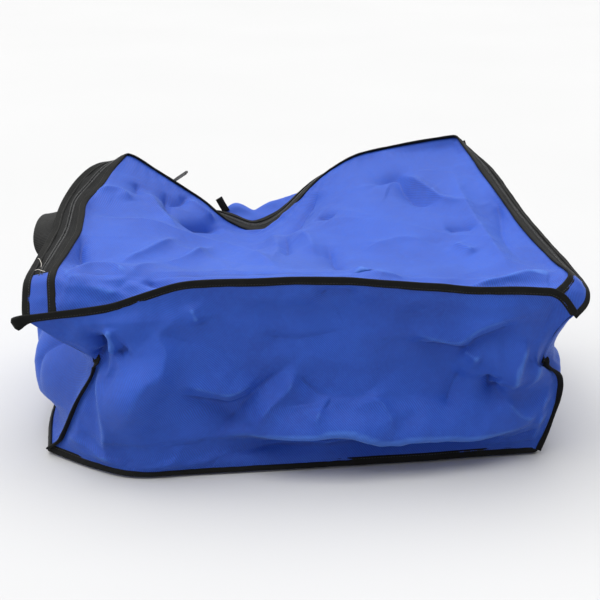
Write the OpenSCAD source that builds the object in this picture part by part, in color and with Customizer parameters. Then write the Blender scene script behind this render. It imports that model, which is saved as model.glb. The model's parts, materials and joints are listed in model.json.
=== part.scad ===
/* [Bag] */
// Width across the front, from corner to corner
bag_w = 600; // [560:10:640]
// Depth from the front wall to the back wall
bag_d = 380; // [360:10:400]
// Height of the back right corner, the tallest one
bag_h = 296; // [280:4:312]

/* [Cloth] */
// Thickness of the coated cloth
cloth_t = 1.2; // [0.8:0.1:1.4]
// Thickness of the rolled binding along a seam
binding_t = 6.8; // [6:0.2:7.4]

/* [Zip] */
// Thickness of the woven zip tape
tape_t = 0.8; // [0.6:0.1:1]
// Thickness of each half of the zip coil
coil_t = 2.6; // [2.2:0.1:2.8]
// Gap between the two halves of the coil
coil_gap = 0.9; // [0.7:0.1:1.2]

/* [Slider] */
// Length of the slider body along the zip
slider_l = 14; // [12:0.5:15]
// Width of the slider body across the zip
slider_w = 11; // [10:0.5:11.5]
// Thickness of each plate of the slider body
plate_t = 1.3; // [1:0.1:1.5]
// Length of the pull tab from its pin to its tip
tab_l = 24; // [20:1:26]
// Width of the pull tab
tab_w = 8; // [7:0.5:9]
// Travel of the slider towards the left corner
travel_left = 32; // [10:1:32]
// Travel of the slider towards the middle of the bag
travel_right = 31; // [20:1:31]

/* [Handles] */
// Width of the handle webbing
web_w = 25; // [20:1:28]
// Thickness of the handle webbing
web_t = 1.6; // [1.2:0.1:2]
// Height of the free loop of a handle above its sewn ends
loop_h = 62; // [54:2:66]

/* [Hidden] */

X = 0;
Y = 1;
Z = 2;

// Every seam is a row of points for a bag of this size, centred by the shift
// and scaled to the driving dimensions.
nominal = [600, 380, 296];
shift = [-6.4, 12.8, 0];
size_scale = [bag_w / nominal[X], bag_d / nominal[Y], bag_h / nominal[Z]];
function sized(points) = [for (p = points) [for (i = [X:Z]) (p[i] + shift[i]) * size_scale[i]]];

// Seams that run from left to right
front_seam = sized([
    [-304, -192, 170], [-290, -190, 176], [-262, -190, 180], [-240, -191, 183], [-200, -192, 190],
    [-160, -191, 203], [-120, -190, 214], [-60, -190, 217], [0, -190, 219], [60, -190, 218],
    [125, -190, 213], [180, -190, 209], [230, -190, 208], [270, -190, 206], [280, -190, 196],
    [290, -190, 182]
]);
lid_back_seam = sized([
    [-228, 170, 271], [-213, 166.2, 266.4], [-191, 157.4, 254.3], [-169, 148.6, 242.2],
    [-147, 139.8, 230.1], [-125, 131, 218], [-96, 114, 200], [-62, 104, 189], [-40, 104, 192],
    [-20, 109, 207], [10, 124, 236], [35, 138, 255], [70, 152, 272], [110, 161, 280],
    [155, 167, 287], [204, 170, 294]
]);
rim_back_seam = sized([
    [-240, 186, 258], [-214, 186.2, 249.4], [-192, 177.4, 237.3], [-170, 168.6, 225.2],
    [-148, 159.8, 213.1], [-126, 151, 201], [-105, 146, 200], [-85, 139, 196], [-62, 131, 190],
    [-42, 131, 196], [-22, 136, 207], [8, 150, 233], [34, 161, 247], [70, 173, 258],
    [110, 181, 265], [155, 185, 272], [212, 186, 283]
]);
bottom_front_seam = sized([
    [-284, -152, 7], [-230, -190, 7], [-180, -212, 7], [-110, -205, 7], [0, -192, 7],
    [130, -176, 7], [225, -160, 7], [268, -154, 7]
]);
bottom_back_seam = sized([[-280, 172, 7], [-140, 182, 7], [0, 184, 7], [140, 182, 7], [270, 172, 7]]);

// Seams that run from front to back
lid_left_seam = sized([
    [-262, -190, 180], [-265, -175, 201], [-266, -158, 217], [-262, -110, 224], [-257, -50, 230],
    [-260, 0, 238], [-262, 35, 244], [-250, 78, 251], [-243, 125, 260], [-228, 170, 271]
]);
rim_left_seam = sized([
    [-290, -190, 176], [-292, -175, 194], [-292, -158, 211], [-288, -110, 220], [-284, -40, 230],
    [-284, 30, 244], [-275, 90, 256], [-258, 140, 264], [-240, 186, 258]
]);
lid_right_seam = sized([
    [270, -190, 206], [283, -176, 211], [291, -158, 217], [281, -120, 219], [270, -75, 225],
    [250, 0, 243], [237, 50, 258], [222, 110, 275], [204, 170, 294]
]);
rim_right_seam = sized([
    [290, -190, 182], [304, -177, 192], [307, -158, 203], [300, -110, 209], [290, -60, 216],
    [270, 8, 232], [256, 60, 248], [240, 120, 266], [212, 186, 283]
]);
bottom_left_seam = sized([[-284, -152, 7], [-298, -60, 7], [-298, 60, 7], [-280, 172, 7]]);
bottom_right_seam = sized([[268, -154, 7], [286, -60, 7], [286, 60, 7], [270, 172, 7]]);

// Seams that run upwards at the four corners
front_left_seam = sized([
    [-284, -152, 7], [-268, -160, 21], [-245, -170, 72], [-222, -178, 123], [-256, -185, 150],
    [-290, -190, 176]
]);
front_right_seam = sized([
    [268, -154, 7], [280, -152, 45], [287, -150, 71], [285, -155, 98], [266, -165, 119],
    [276, -180, 160], [290, -190, 182]
]);
back_left_seam = sized([[-280, 172, 7], [-276, 180, 90], [-262, 184, 180], [-240, 186, 258]]);
back_right_seam = sized([[270, 172, 7], [268, 180, 100], [244, 184, 200], [212, 186, 283]]);

// The lid folds along a line between the two ends of the zip.
fold_y = lid_left_seam[2][Y];
fold_z = lid_left_seam[2][Z];
fold_gap = 6;

// Where the slider stands, as the x coordinate of the zip's middle line
slider_x = (-169 + shift[X]) * size_scale[X];
tab_angle = 72;
notch_depth = slider_w / 2 + 0.7;

function mix(a, b, t) = a + (b - a) * t;
function unit(v) = v / norm(v);
function steps(a, b, n) = [for (i = [0:n]) mix(a, b, i / n)];
function clamp(v) = max(0, min(1, v));

// A smooth curve through a row of points, with n steps between neighbours
function spline(p, n) =
    let (last = len(p) - 1)
    [for (i = [0:last - 1], s = [0:n - 1 + (i == last - 1 ? 1 : 0)])
        let (
            t = s / n,
            a = p[max(i - 1, 0)],
            b = p[i],
            c = p[i + 1],
            d = p[min(i + 2, last)]
        )
        (2 * b + (c - a) * t + (2 * a - 5 * b + 4 * c - d) * t * t
            + (3 * b - a - 3 * c + d) * t * t * t) / 2];

// The point where a curve's running coordinate k has the value s
function at(curve, k, s) =
    [for (i = [X:Z]) i == k ? s : lookup(s, [for (p = curve) [p[k], p[i]]])];

// The point a share t of the way along a curve between two values of its running coordinate
function part_way(curve, k, a, b, t) = at(curve, k, mix(a, b, t));

// The point a share t of the way along a whole curve
function along(curve, k, t) =
    t <= 0 ? curve[0]
    : t >= 1 ? curve[len(curve) - 1]
    : part_way(curve, k, curve[0][k], curve[len(curve) - 1][k], t);

front_line = spline(front_seam, 4);
lid_back_line = spline(lid_back_seam, 4);
rim_back_line = spline(rim_back_seam, 4);
bottom_front_line = spline(bottom_front_seam, 6);
bottom_back_line = spline(bottom_back_seam, 6);
lid_left_line = spline(lid_left_seam, 5);
rim_left_line = spline(rim_left_seam, 5);
lid_right_line = spline(lid_right_seam, 5);
rim_right_line = spline(rim_right_seam, 5);
bottom_left_line = spline(bottom_left_seam, 6);
bottom_right_line = spline(bottom_right_seam, 6);
front_left_line = spline(front_left_seam, 5);
front_right_line = spline(front_right_seam, 5);
back_left_line = spline(back_left_seam, 6);
back_right_line = spline(back_right_seam, 6);

// A patch between four corner points and four boundary points at u and v
function coons(u, v, low, high, left, right, c00, c10, c01, c11) =
    mix(low, high, v) + mix(left, right, u)
    - mix(mix(c00, c10, u), mix(c01, c11, u), v);

// A smooth swelling centred on (u0, v0) that dies away at su and sv from it
function swell(u, v, u0, v0, su, sv) =
    pow(cos(90 * clamp(abs(u - u0) / su)), 2) * pow(cos(90 * clamp(abs(v - v0) / sv)), 2);

function front_point(u, v) =
    coons(
        u, v, along(bottom_front_line, X, u),
        part_way(front_line, X, front_seam[1][X], front_seam[15][X], u),
        along(front_left_line, Z, v), along(front_right_line, Z, v),
        bottom_front_seam[0], bottom_front_seam[7], front_seam[1], front_seam[15]
    )
    + [0, -1, 0] * 15 * swell(u, v, 0.65, 0.2, 0.5, 0.2)
    + [0, 1, -0.2] * 10 * swell(u, v, 0.5, 0.86, 0.5, 0.14)
    + [-0.4, -1, 0] * 26 * swell(u, v, 0.12, 0.55, 0.12, 0.42)
    + [0.2, -1, 0] * 14 * swell(u, v, 0.88, 0.6, 0.12, 0.4);

function back_point(u, v) =
    coons(
        u, v, along(bottom_back_line, X, u), along(rim_back_line, X, u),
        along(back_left_line, Z, v), along(back_right_line, Z, v),
        bottom_back_seam[0], bottom_back_seam[4], rim_back_seam[0], rim_back_seam[16]
    )
    + [0, 1, 0] * 42 * swell(u, v, 0.36, 0.72, 0.3, 0.28);

function left_point(u, v) =
    coons(
        u, v, along(bottom_left_line, Y, u), along(rim_left_line, Y, u),
        along(front_left_line, Z, v), along(back_left_line, Z, v),
        bottom_left_seam[0], bottom_left_seam[3], rim_left_seam[0], rim_left_seam[8]
    )
    + [-1, 0, 0] * 48 * swell(u, v, 0.4, 0.5, 0.4, 0.5)
    + [-1, 0, 0] * 10 * swell(u, v, 0.7, 0.4, 0.3, 0.4)
    + [-1, 0, 0] * 22 * swell(u, v, 0.2, 0.34, 0.2, 0.32);

function right_point(u, v) =
    coons(
        u, v, along(bottom_right_line, Y, u), along(rim_right_line, Y, u),
        along(front_right_line, Z, v), along(back_right_line, Z, v),
        bottom_right_seam[0], bottom_right_seam[3], rim_right_seam[0], rim_right_seam[8]
    )
    + [1, 0, 0] * 4 * swell(u, v, 0.5, 0.45, 0.4, 0.45);

function bottom_point(u, v) =
    let (
        p = coons(
            u, v, along(bottom_front_line, X, u), along(bottom_back_line, X, u),
            along(bottom_left_line, Y, v), along(bottom_right_line, Y, v),
            bottom_front_seam[0], bottom_front_seam[7], bottom_back_seam[0], bottom_back_seam[4]
        )
    )
    (u > 0 && u < 1 && v > 0 && v < 1) ? [p[X], p[Y], cloth_t / 2] : p;

function margin_point(u, v) =
    let (
        y = mix(lid_left_seam[0][Y], fold_y - fold_gap / 2, v),
        low = part_way(front_line, X, front_seam[2][X], front_seam[13][X], u),
        left = at(lid_left_line, Y, y),
        right = at(lid_right_line, Y, y),
        left_end = at(lid_left_line, Y, fold_y - fold_gap / 2),
        right_end = at(lid_right_line, Y, fold_y - fold_gap / 2),
        crest = [0, 0, 2] * swell(u, 0, 0.42, 0, 0.42, 1)
    )
    coons(
        u, v, low, mix(left_end, right_end, u), left, right,
        front_seam[2], front_seam[13], left_end, right_end
    )
    + crest * v;

function lid_point(u, v) =
    let (
        start = fold_y + fold_gap / 2,
        end = lid_left_seam[9][Y],
        y = mix(start, end, v),
        left_start = at(lid_left_line, Y, start),
        right_start = at(lid_right_line, Y, start),
        crest = [0, 0, 2] * swell(u, 0, 0.42, 0, 0.42, 1)
    )
    coons(
        u, v, mix(left_start, right_start, u), along(lid_back_line, X, u),
        at(lid_left_line, Y, y), at(lid_right_line, Y, y),
        left_start, right_start, lid_back_seam[0], lid_back_seam[15]
    )
    + crest * pow(1 - v, 2);

// Normal of a grid of points at row i and column j
function grid_normal(g, i, j) =
    unit(cross(
        g[i][min(j + 1, len(g[0]) - 1)] - g[i][max(j - 1, 0)],
        g[min(i + 1, len(g) - 1)][j] - g[max(i - 1, 0)][j]
    ));

// A closed sheet of thickness t centred on a grid of points
module sheet(g, t) {
    rows = len(g);
    cols = len(g[0]);
    upper = [for (i = [0:rows - 1], j = [0:cols - 1]) g[i][j] + grid_normal(g, i, j) * t / 2];
    lower = [for (i = [0:rows - 1], j = [0:cols - 1]) g[i][j] - grid_normal(g, i, j) * t / 2];
    function id(side, i, j) = (side * rows + i) * cols + j;
    function quad(a, b, c, d) = [[a, b, c], [a, c, d]];
    cells = [for (i = [0:rows - 2], j = [0:cols - 2]) [i, j]];
    top_faces = [for (c = cells)
        each quad(
            id(0, c[0], c[1]), id(0, c[0] + 1, c[1]),
            id(0, c[0] + 1, c[1] + 1), id(0, c[0], c[1] + 1)
        )];
    bottom_faces = [for (c = cells)
        each [
            [id(1, c[0], c[1]), id(1, c[0] + 1, c[1] + 1), id(1, c[0] + 1, c[1])],
            [id(1, c[0], c[1]), id(1, c[0], c[1] + 1), id(1, c[0] + 1, c[1] + 1)]
        ]];
    row_walls = [for (j = [0:cols - 2]) each concat(
        quad(id(0, 0, j), id(0, 0, j + 1), id(1, 0, j + 1), id(1, 0, j)),
        quad(id(0, rows - 1, j + 1), id(0, rows - 1, j), id(1, rows - 1, j), id(1, rows - 1, j + 1))
    )];
    column_walls = [for (i = [0:rows - 2]) each concat(
        quad(id(0, i + 1, 0), id(0, i, 0), id(1, i, 0), id(1, i + 1, 0)),
        quad(id(0, i, cols - 1), id(0, i + 1, cols - 1), id(1, i + 1, cols - 1), id(1, i, cols - 1))
    )];
    polyhedron(concat(upper, lower), concat(top_faces, bottom_faces, row_walls, column_walls));
}

// A closed solid through a row of equal rings of points
module loft(rings) {
    n = len(rings[0]);
    last = len(rings) - 1;
    walls = [for (i = [0:last - 1], j = [0:n - 1])
        each let (k = (j + 1) % n) [
            [i * n + j, (i + 1) * n + j, (i + 1) * n + k],
            [i * n + j, (i + 1) * n + k, i * n + k]
        ]];
    caps = [[for (j = [0:n - 1]) j], [for (j = [0:n - 1]) last * n + n - 1 - j]];
    polyhedron([for (r = rings) each r], concat(walls, caps));
}

// A rolled binding along a curve between two values of its running coordinate.
// Every ring lies in a plane of that coordinate.
module binding(curve, k, a, b, spacing = 12) {
    n = max(2, round(abs(b - a) / spacing));
    r = binding_t / 2;
    loft([for (s = steps(a, b, n))
        let (p = at(curve, k, s))
        [for (q = [0:7])
            p + [for (i = [X:Z]) i == k ? 0 : i == (k + 1) % 3 ? r * cos(45 * q) : r * sin(45 * q)]]
    ]);
}

module whole_binding(curve, k, spacing = 12) {
    binding(curve, k, curve[0][k], curve[len(curve) - 1][k], spacing);
}

// A closed sheet over the function f, at the columns us and the rows vs
module panel(f, us, vs) {
    sheet([for (v = vs) [for (u = us) f(u, v)]], cloth_t);
}

// Pairs of facing points on the lid's edge and the rim, along the three zipped sides
back_match = [
    for (m = [[0, 0], [1, 1], [5, 5], [6, 6], [7, 8], [8, 9], [10, 11], [15, 16]])
        [lid_back_seam[m[0]][X], rim_back_seam[m[1]][X]]
];
zip_start = fold_y + 1.5;
left_pairs = [
    for (t = steps(0, 1, 22)) [
        part_way(lid_left_line, Y, zip_start, lid_left_seam[9][Y], t),
        part_way(rim_left_line, Y, zip_start, rim_left_seam[8][Y], t)
    ]
];
back_pairs = [
    for (x = steps(lid_back_seam[0][X], lid_back_seam[15][X], 40))
        [at(lid_back_line, X, x), at(rim_back_line, X, lookup(x, back_match))]
];
right_pairs = [
    for (t = steps(1, 0, 22)) [
        part_way(lid_right_line, Y, zip_start, lid_right_seam[8][Y], t),
        part_way(rim_right_line, Y, zip_start, rim_right_seam[8][Y], t)
    ]
];
inner_points = concat(
    left_pairs,
    [for (i = [1:39]) back_pairs[i]],
    right_pairs
);

// Middle line of the zip, with its directions along, across to the rim, and out
zip_line = [for (p = inner_points) mix(p[0], p[1], 0.5)];
zip_last = len(zip_line) - 1;
zip_across = [for (p = inner_points) unit(p[1] - p[0])];
zip_out = [
    for (i = [0:zip_last])
        unit(cross(zip_line[min(i + 1, zip_last)] - zip_line[max(i - 1, 0)], zip_across[i]))
];

// Frame of the straight stretch that the slider runs on
stretch_a = mix(lid_back_seam[1], rim_back_seam[1], 0.5);
stretch_b = mix(lid_back_seam[5], rim_back_seam[5], 0.5);
run_dir = unit(stretch_b - stretch_a);
out_dir = unit(cross(run_dir, rim_back_seam[1] - lid_back_seam[1]));
across_dir = cross(out_dir, run_dir);
slider_at = stretch_a + run_dir * (slider_x - stretch_a[X]) / run_dir[X];

// The lid's side of the zip is cut back where the slider travels.
notch_from = slider_x - (travel_left + slider_l / 2 + 16) * run_dir[X];
notch_to = slider_x + (travel_right + slider_l / 2 + 16) * run_dir[X];
function on_back(i) = i > 22 && i < zip_last - 22;
function in_notch(i) = on_back(i) && zip_line[i][X] > notch_from && zip_line[i][X] < notch_to;
notch_first = min([for (i = [0:zip_last]) if (in_notch(i)) i]);
notch_last = max([for (i = [0:zip_last]) if (in_notch(i)) i]);

module zip_coil(side, from, to) {
    reach = coil_gap / 2 + coil_t / 2;
    loft([for (i = [from:to])
        let (p = zip_line[i] + side * reach * zip_across[i])
        [for (q = [0:7])
            p + coil_t / 2 * (cos(45 * q) * zip_across[i] + sin(45 * q) * zip_out[i])]
    ]);
}

module at_slider() {
    multmatrix([
        [run_dir[X], across_dir[X], out_dir[X], slider_at[X]],
        [run_dir[Y], across_dir[Y], out_dir[Y], slider_at[Y]],
        [run_dir[Z], across_dir[Z], out_dir[Z], slider_at[Z]],
        [0, 0, 0, 1]
    ]) children();
}

channel_h = coil_t / 2 + 0.45;
plate_top = channel_h + plate_t;
pin_r = 0.8;
pin_z = plate_top + 1.5;

module slider_outline() {
    polygon([
        [-slider_l / 2, -0.34 * slider_w], [-slider_l / 2 + 2, -0.42 * slider_w],
        [1, -slider_w / 2], [slider_l / 2 - 1, -slider_w / 2],
        [slider_l / 2, -0.42 * slider_w], [slider_l / 2, 0.42 * slider_w],
        [slider_l / 2 - 1, slider_w / 2], [1, slider_w / 2],
        [-slider_l / 2 + 2, 0.42 * slider_w], [-slider_l / 2, 0.34 * slider_w]
    ]);
}

module slider_lips() {
    difference() {
        slider_outline();
        polygon([
            [-slider_l, -0.42 * slider_w + 1.1], [-slider_l / 2 + 2, -0.42 * slider_w + 1.1],
            [1, -slider_w / 2 + 1.1], [slider_l, -slider_w / 2 + 1.1],
            [slider_l, slider_w / 2 - 1.1], [1, slider_w / 2 - 1.1],
            [-slider_l / 2 + 2, 0.42 * slider_w - 1.1], [-slider_l, 0.42 * slider_w - 1.1]
        ]);
    }
}

leg_shares = [0.41, 0.717];
root_share = 0.68;
sewn_share = 0.18;

// Outward normal of an end panel at (u, v). The way out is -1 on the left and 1 on the right.
function end_point(way, u, v) = way < 0 ? left_point(u, v) : right_point(u, v);
function end_normal(way, u, v) =
    way * unit(cross(
        end_point(way, u + 0.02, v) - end_point(way, u - 0.02, v),
        end_point(way, u, v + 0.02) - end_point(way, u, v - 0.02)
    ));
function end_offset(way, u, v, d) = end_point(way, u, v) + end_normal(way, u, v) * d;
function root_point(way, i) =
    end_offset(way, leg_shares[i], root_share, cloth_t / 2 + web_t * 1.5 + 2.5);

module handle_ends(way) {
    half = web_w / 2 / bag_d * 1.06;
    for (leg = leg_shares) {
        sheet([
            for (v = steps(root_share - sewn_share, root_share - 0.008, 4))
                [for (u = steps(leg - half, leg + half, 3))
                    end_offset(way, u, v, cloth_t / 2 + web_t / 2 + 0.05)]
        ], web_t);
    }
}

// One ring of the webbing loop, in a frame of the line through its roots, the way up, and out
function loop_place(gap, a) = [-gap / 2 * cos(a), loop_h * pow(sin(a), 0.7), 0];
function loop_ring(gap, a) =
    let (
        d = loop_place(gap, min(a + 1, 180)) - loop_place(gap, max(a - 1, 0)),
        along_web = a < 2 ? [0, 1, 0] : a > 178 ? [0, -1, 0] : unit(d),
        side = [-along_web[Y], along_web[X], 0],
        twist = 90 * pow(sin(90 * clamp(sin(a) * 1.15)), 2),
        wide = web_w / 2 * (cos(twist) * side + sin(twist) * [0, 0, 1]),
        thick = web_t / 2 * (cos(twist) * [0, 0, 1] - sin(twist) * side),
        p = loop_place(gap, a)
    )
    [p + wide - thick, p + wide + thick, p - wide + thick, p - wide - thick];

module handle_loop(way, tilt) {
    a = root_point(way, 0);
    b = root_point(way, 1);
    gap = norm(b - a);
    line = unit(b - a);
    out = unit(cross(line, [0, 0, 1]));
    up = cross(out, line);
    mid = mix(a, b, 0.5);
    multmatrix([
        [line[X], up[X], out[X], mid[X]],
        [line[Y], up[Y], out[Y], mid[Y]],
        [line[Z], up[Z], out[Z], mid[Z]],
        [0, 0, 0, 1]
    ])
        rotate([tilt, 0, 0])
            loft([for (a = steps(0, 180, 30)) loop_ring(gap, a)]);
}

edge_steps = [0, 0.02, 0.06, 0.2, 0.35, 0.5, 0.65, 0.8, 0.94, 0.98, 1];

module bottom_panel() {
    color("mediumblue") panel(function(u, v) bottom_point(u, v), edge_steps, edge_steps);
}

module front_panel() {
    color("royalblue") panel(function(u, v) front_point(u, v), steps(0, 1, 20), steps(0, 1, 10));
}

module back_panel() {
    color("royalblue") panel(function(u, v) back_point(u, v), steps(0, 1, 20), steps(0, 1, 8));
}

module left_end_panel() {
    color("cornflowerblue")
        panel(function(u, v) left_point(u, v), steps(0, 1, 14), steps(0, 1, 10));
}

module right_end_panel() {
    color("cornflowerblue")
        panel(function(u, v) right_point(u, v), steps(0, 1, 14), steps(0, 1, 10));
}

module lid_front_margin() {
    color("dodgerblue") panel(function(u, v) margin_point(u, v), steps(0, 1, 20), steps(0, 1, 3));
}

module lid_panel() {
    color("deepskyblue") panel(function(u, v) lid_point(u, v), steps(0, 1, 20), steps(0, 1, 12));
}

module front_seam_binding() {
    color("dimgray") whole_binding(front_line, X);
}

module front_left_binding() {
    color("dimgray") whole_binding(front_left_line, Z);
}

module front_right_binding() {
    color("dimgray") whole_binding(front_right_line, Z);
}

module back_left_binding() {
    color("dimgray") whole_binding(back_left_line, Z);
}

module back_right_binding() {
    color("dimgray") whole_binding(back_right_line, Z);
}

module bottom_front_binding() {
    color("dimgray") whole_binding(bottom_front_line, X);
}

module bottom_back_binding() {
    color("dimgray") whole_binding(bottom_back_line, X, 20);
}

module bottom_left_binding() {
    color("dimgray") whole_binding(bottom_left_line, Y, 20);
}

module bottom_right_binding() {
    color("dimgray") whole_binding(bottom_right_line, Y, 20);
}

module rim_left_binding() {
    color("slategray") whole_binding(rim_left_line, Y);
}

module rim_back_binding() {
    color("slategray") whole_binding(rim_back_line, X);
}

module rim_right_binding() {
    color("slategray") whole_binding(rim_right_line, Y);
}

module lid_left_binding() {
    color("gray") binding(lid_left_line, Y, zip_start + 1.5, lid_left_seam[9][Y]);
}

module lid_back_binding() {
    color("gray") whole_binding(lid_back_line, X);
}

module lid_right_binding() {
    color("gray") binding(lid_right_line, Y, zip_start + 1.5, lid_right_seam[8][Y]);
}

// A tab fills the space between the lid's edge and the rim in front of the zip.
module tab(inner, outer, inner_y, outer_y) {
    sheet([
        for (t = steps(0, 1, 4))
            [for (s = steps(0, 1, 3))
                mix(
                    part_way(inner, Y, inner_y, zip_start - 3, t),
                    part_way(outer, Y, outer_y, zip_start - 3, t), s
                )]
    ], cloth_t);
}

module left_tab() {
    color("blue") tab(lid_left_line, rim_left_line, lid_left_seam[0][Y], rim_left_seam[0][Y]);
}

module right_tab() {
    color("blue") tab(lid_right_line, rim_right_line, lid_right_seam[0][Y], rim_right_seam[0][Y]);
}

module left_tab_binding() {
    color("dimgray") binding(lid_left_line, Y, lid_left_seam[0][Y], zip_start - 4.5, 6);
}

module right_tab_binding() {
    color("dimgray") binding(lid_right_line, Y, lid_right_seam[0][Y], zip_start - 4.5, 6);
}

module zip_tape_outer() {
    color("darkslategray") sheet([
        for (i = [0:zip_last])
            [for (s = [0, 0.5, 1])
                mix(zip_line[i] + zip_across[i] * coil_gap / 2, inner_points[i][1], s)]
    ], tape_t);
}

module zip_tape_inner() {
    color("darkslategray") sheet([
        for (i = [0:zip_last])
            [for (s = [0, 0.5, 1])
                mix(
                    inner_points[i][0],
                    zip_line[i] - zip_across[i] * (in_notch(i) ? notch_depth : coil_gap / 2),
                    s
                )]
    ], tape_t);
}

module zip_coil_outer() {
    color("silver") zip_coil(1, 0, zip_last);
}

module zip_coil_inner() {
    color("silver") {
        zip_coil(-1, 0, notch_first - 1);
        zip_coil(-1, notch_last + 1, zip_last);
    }
}

module slider_body() {
    color("goldenrod") at_slider() {
        for (side = [0, 1]) {
            mirror([0, 0, side]) {
                translate([0, 0, channel_h])
                    linear_extrude(plate_t) slider_outline();
                translate([0, 0, 0.75])
                    linear_extrude(channel_h - 0.75 + 0.01) slider_lips();
            }
        }
        translate([2, -2.4, -channel_h - 0.01])
            cube([4, 2.2, 2 * channel_h + 0.02]);
    }
}

module slider_bridge() {
    color("gold") at_slider()
        translate([0, 1.2, plate_top])
            rotate([90, 0, 0])
                linear_extrude(2.4)
                    difference() {
                        polygon([
                            [-4.5, 0], [4.5, 0], [4.5, 1.6], [3.2, 3.5], [-3.2, 3.5], [-4.5, 1.6]
                        ]);
                        polygon([
                            [-3, -0.01], [3, -0.01], [3, 1.6], [2.2, 2.7], [-2.2, 2.7], [-3, 1.6]
                        ]);
                    }
}

module pull_tab() {
    color("khaki") at_slider()
        translate([0, 0, pin_z])
            rotate([0, -tab_angle, 0]) {
                rotate([90, 0, 0])
                    cylinder(r = pin_r, h = 6.4, center = true, $fn = 32);
                for (side = [-1, 1]) {
                    translate([-0.8, side * 2.45 - 0.75, -0.7])
                        cube([7.4, 1.5, 1.4]);
                }
                difference() {
                    translate([5.6, -tab_w / 2, -0.7])
                        cube([tab_l - 5.6 - 2, tab_w, 1.4]);
                    translate([tab_l - 5.5, 0, -1])
                        cylinder(r = 2, h = 2, $fn = 40);
                }
                translate([tab_l - 2.01, -tab_w / 2 + 1.5, -0.7])
                    cube([2.01, tab_w - 3, 1.4]);
            }
}

module left_handle_ends() {
    color("black") handle_ends(-1);
}

module left_handle_loop() {
    color("darkslateblue") handle_loop(-1, -14);
}

module right_handle_ends() {
    color("black") handle_ends(1);
}

module right_handle_loop() {
    color("darkslateblue") handle_loop(1, 140);
}

bottom_panel();
front_panel();
back_panel();
left_end_panel();
right_end_panel();
lid_front_margin();
lid_panel();
front_seam_binding();
front_left_binding();
front_right_binding();
back_left_binding();
back_right_binding();
bottom_front_binding();
bottom_back_binding();
bottom_left_binding();
bottom_right_binding();
rim_left_binding();
rim_back_binding();
rim_right_binding();
lid_left_binding();
lid_back_binding();
lid_right_binding();
left_tab();
right_tab();
left_tab_binding();
right_tab_binding();
zip_tape_outer();
zip_tape_inner();
zip_coil_outer();
zip_coil_inner();
slider_body();
slider_bridge();
pull_tab();
left_handle_ends();
left_handle_loop();
right_handle_ends();
right_handle_loop();
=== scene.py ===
import json
import math

import bpy
import numpy as np
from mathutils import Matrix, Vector, noise


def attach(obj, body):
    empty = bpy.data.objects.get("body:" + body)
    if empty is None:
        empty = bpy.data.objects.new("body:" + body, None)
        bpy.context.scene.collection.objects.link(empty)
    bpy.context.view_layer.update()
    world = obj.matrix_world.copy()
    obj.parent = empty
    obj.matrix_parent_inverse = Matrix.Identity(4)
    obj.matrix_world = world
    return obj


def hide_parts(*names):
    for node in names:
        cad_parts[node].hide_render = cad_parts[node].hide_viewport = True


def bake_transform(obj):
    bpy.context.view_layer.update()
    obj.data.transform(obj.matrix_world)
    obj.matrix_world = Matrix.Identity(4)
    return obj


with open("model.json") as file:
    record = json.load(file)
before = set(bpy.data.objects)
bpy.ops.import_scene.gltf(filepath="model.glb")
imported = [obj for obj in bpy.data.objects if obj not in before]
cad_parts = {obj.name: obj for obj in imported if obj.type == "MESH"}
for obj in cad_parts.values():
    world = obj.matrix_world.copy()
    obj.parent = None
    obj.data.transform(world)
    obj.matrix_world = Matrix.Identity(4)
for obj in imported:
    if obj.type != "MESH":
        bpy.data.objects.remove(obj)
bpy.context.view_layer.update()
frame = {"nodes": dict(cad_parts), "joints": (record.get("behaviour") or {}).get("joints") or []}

X, Y, Z = 0, 1, 2
MM = 0.001
NODES = frame["nodes"]

CLOTH_T = 0.9 * MM  # thickness of the cloth
CELL = 4 * MM  # spacing of a panel's grid
BINDING_W = 9.4 * MM  # width of the folded binding tape
BINDING_T = 2.6 * MM  # thickness of the folded binding tape
STITCH = 3.1 * MM  # spacing of the stitches
WEB_W = 25 * MM
WEB_T = 1.6 * MM


# ---------------------------------------------------------------- lines


def smooth(p, n):
    """A Catmull-Rom curve through the rows of p, with n steps between neighbours."""
    p = np.asarray(p, float)
    q = np.vstack([2 * p[0] - p[1], p, 2 * p[-1] - p[-2]])
    a, b, c, d = q[:-3], q[1:-2], q[2:-1], q[3:]
    steps = [
        (2 * b + (c - a) * t + (2 * a - 5 * b + 4 * c - d) * t**2 + (3 * b - a - 3 * c + d) * t**3) / 2
        for t in np.arange(n) / n
    ]
    return np.vstack([np.stack(steps, 1).reshape(-1, p.shape[1]), p[-1:]])


def unit(v):
    v = np.asarray(v, float)
    return v / np.maximum(np.linalg.norm(v, axis=-1, keepdims=True), 1e-12)


def lengths(p):
    return np.r_[0, np.cumsum(np.linalg.norm(np.diff(p[:, :3], axis=0), axis=1))]


def resample(p, step):
    """The polyline p at even steps of its length, and those lengths."""
    d = lengths(p)
    s = np.linspace(0, d[-1], max(3, int(round(d[-1] / step)) + 1))
    return np.stack([np.interp(s, d, p[:, i]) for i in range(p.shape[1])], -1), s


def seam(nodes, axis):
    """The centre line through CAD bindings, whose rings each lie in a plane of one axis."""
    line = []
    for node in nodes:
        mesh = NODES[node].data
        co = np.empty(len(mesh.vertices) * 3)
        mesh.vertices.foreach_get("co", co)
        co = np.unique(np.round(co.reshape(-1, 3), 6), axis=0)
        co = co[np.argsort(co[:, axis])]
        cuts = np.flatnonzero(np.diff(co[:, axis]) > 0.4 * MM) + 1
        line += [ring.mean(0) for ring in np.split(co, cuts) if len(ring) >= 6]
    line = np.array(line)
    return smooth(line[np.argsort(line[:, axis])], 4)


def at(line, axis, s):
    """Points of a line where its running coordinate is s."""
    return np.stack([np.interp(s, line[:, axis], line[:, i]) for i in range(3)], -1)


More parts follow.
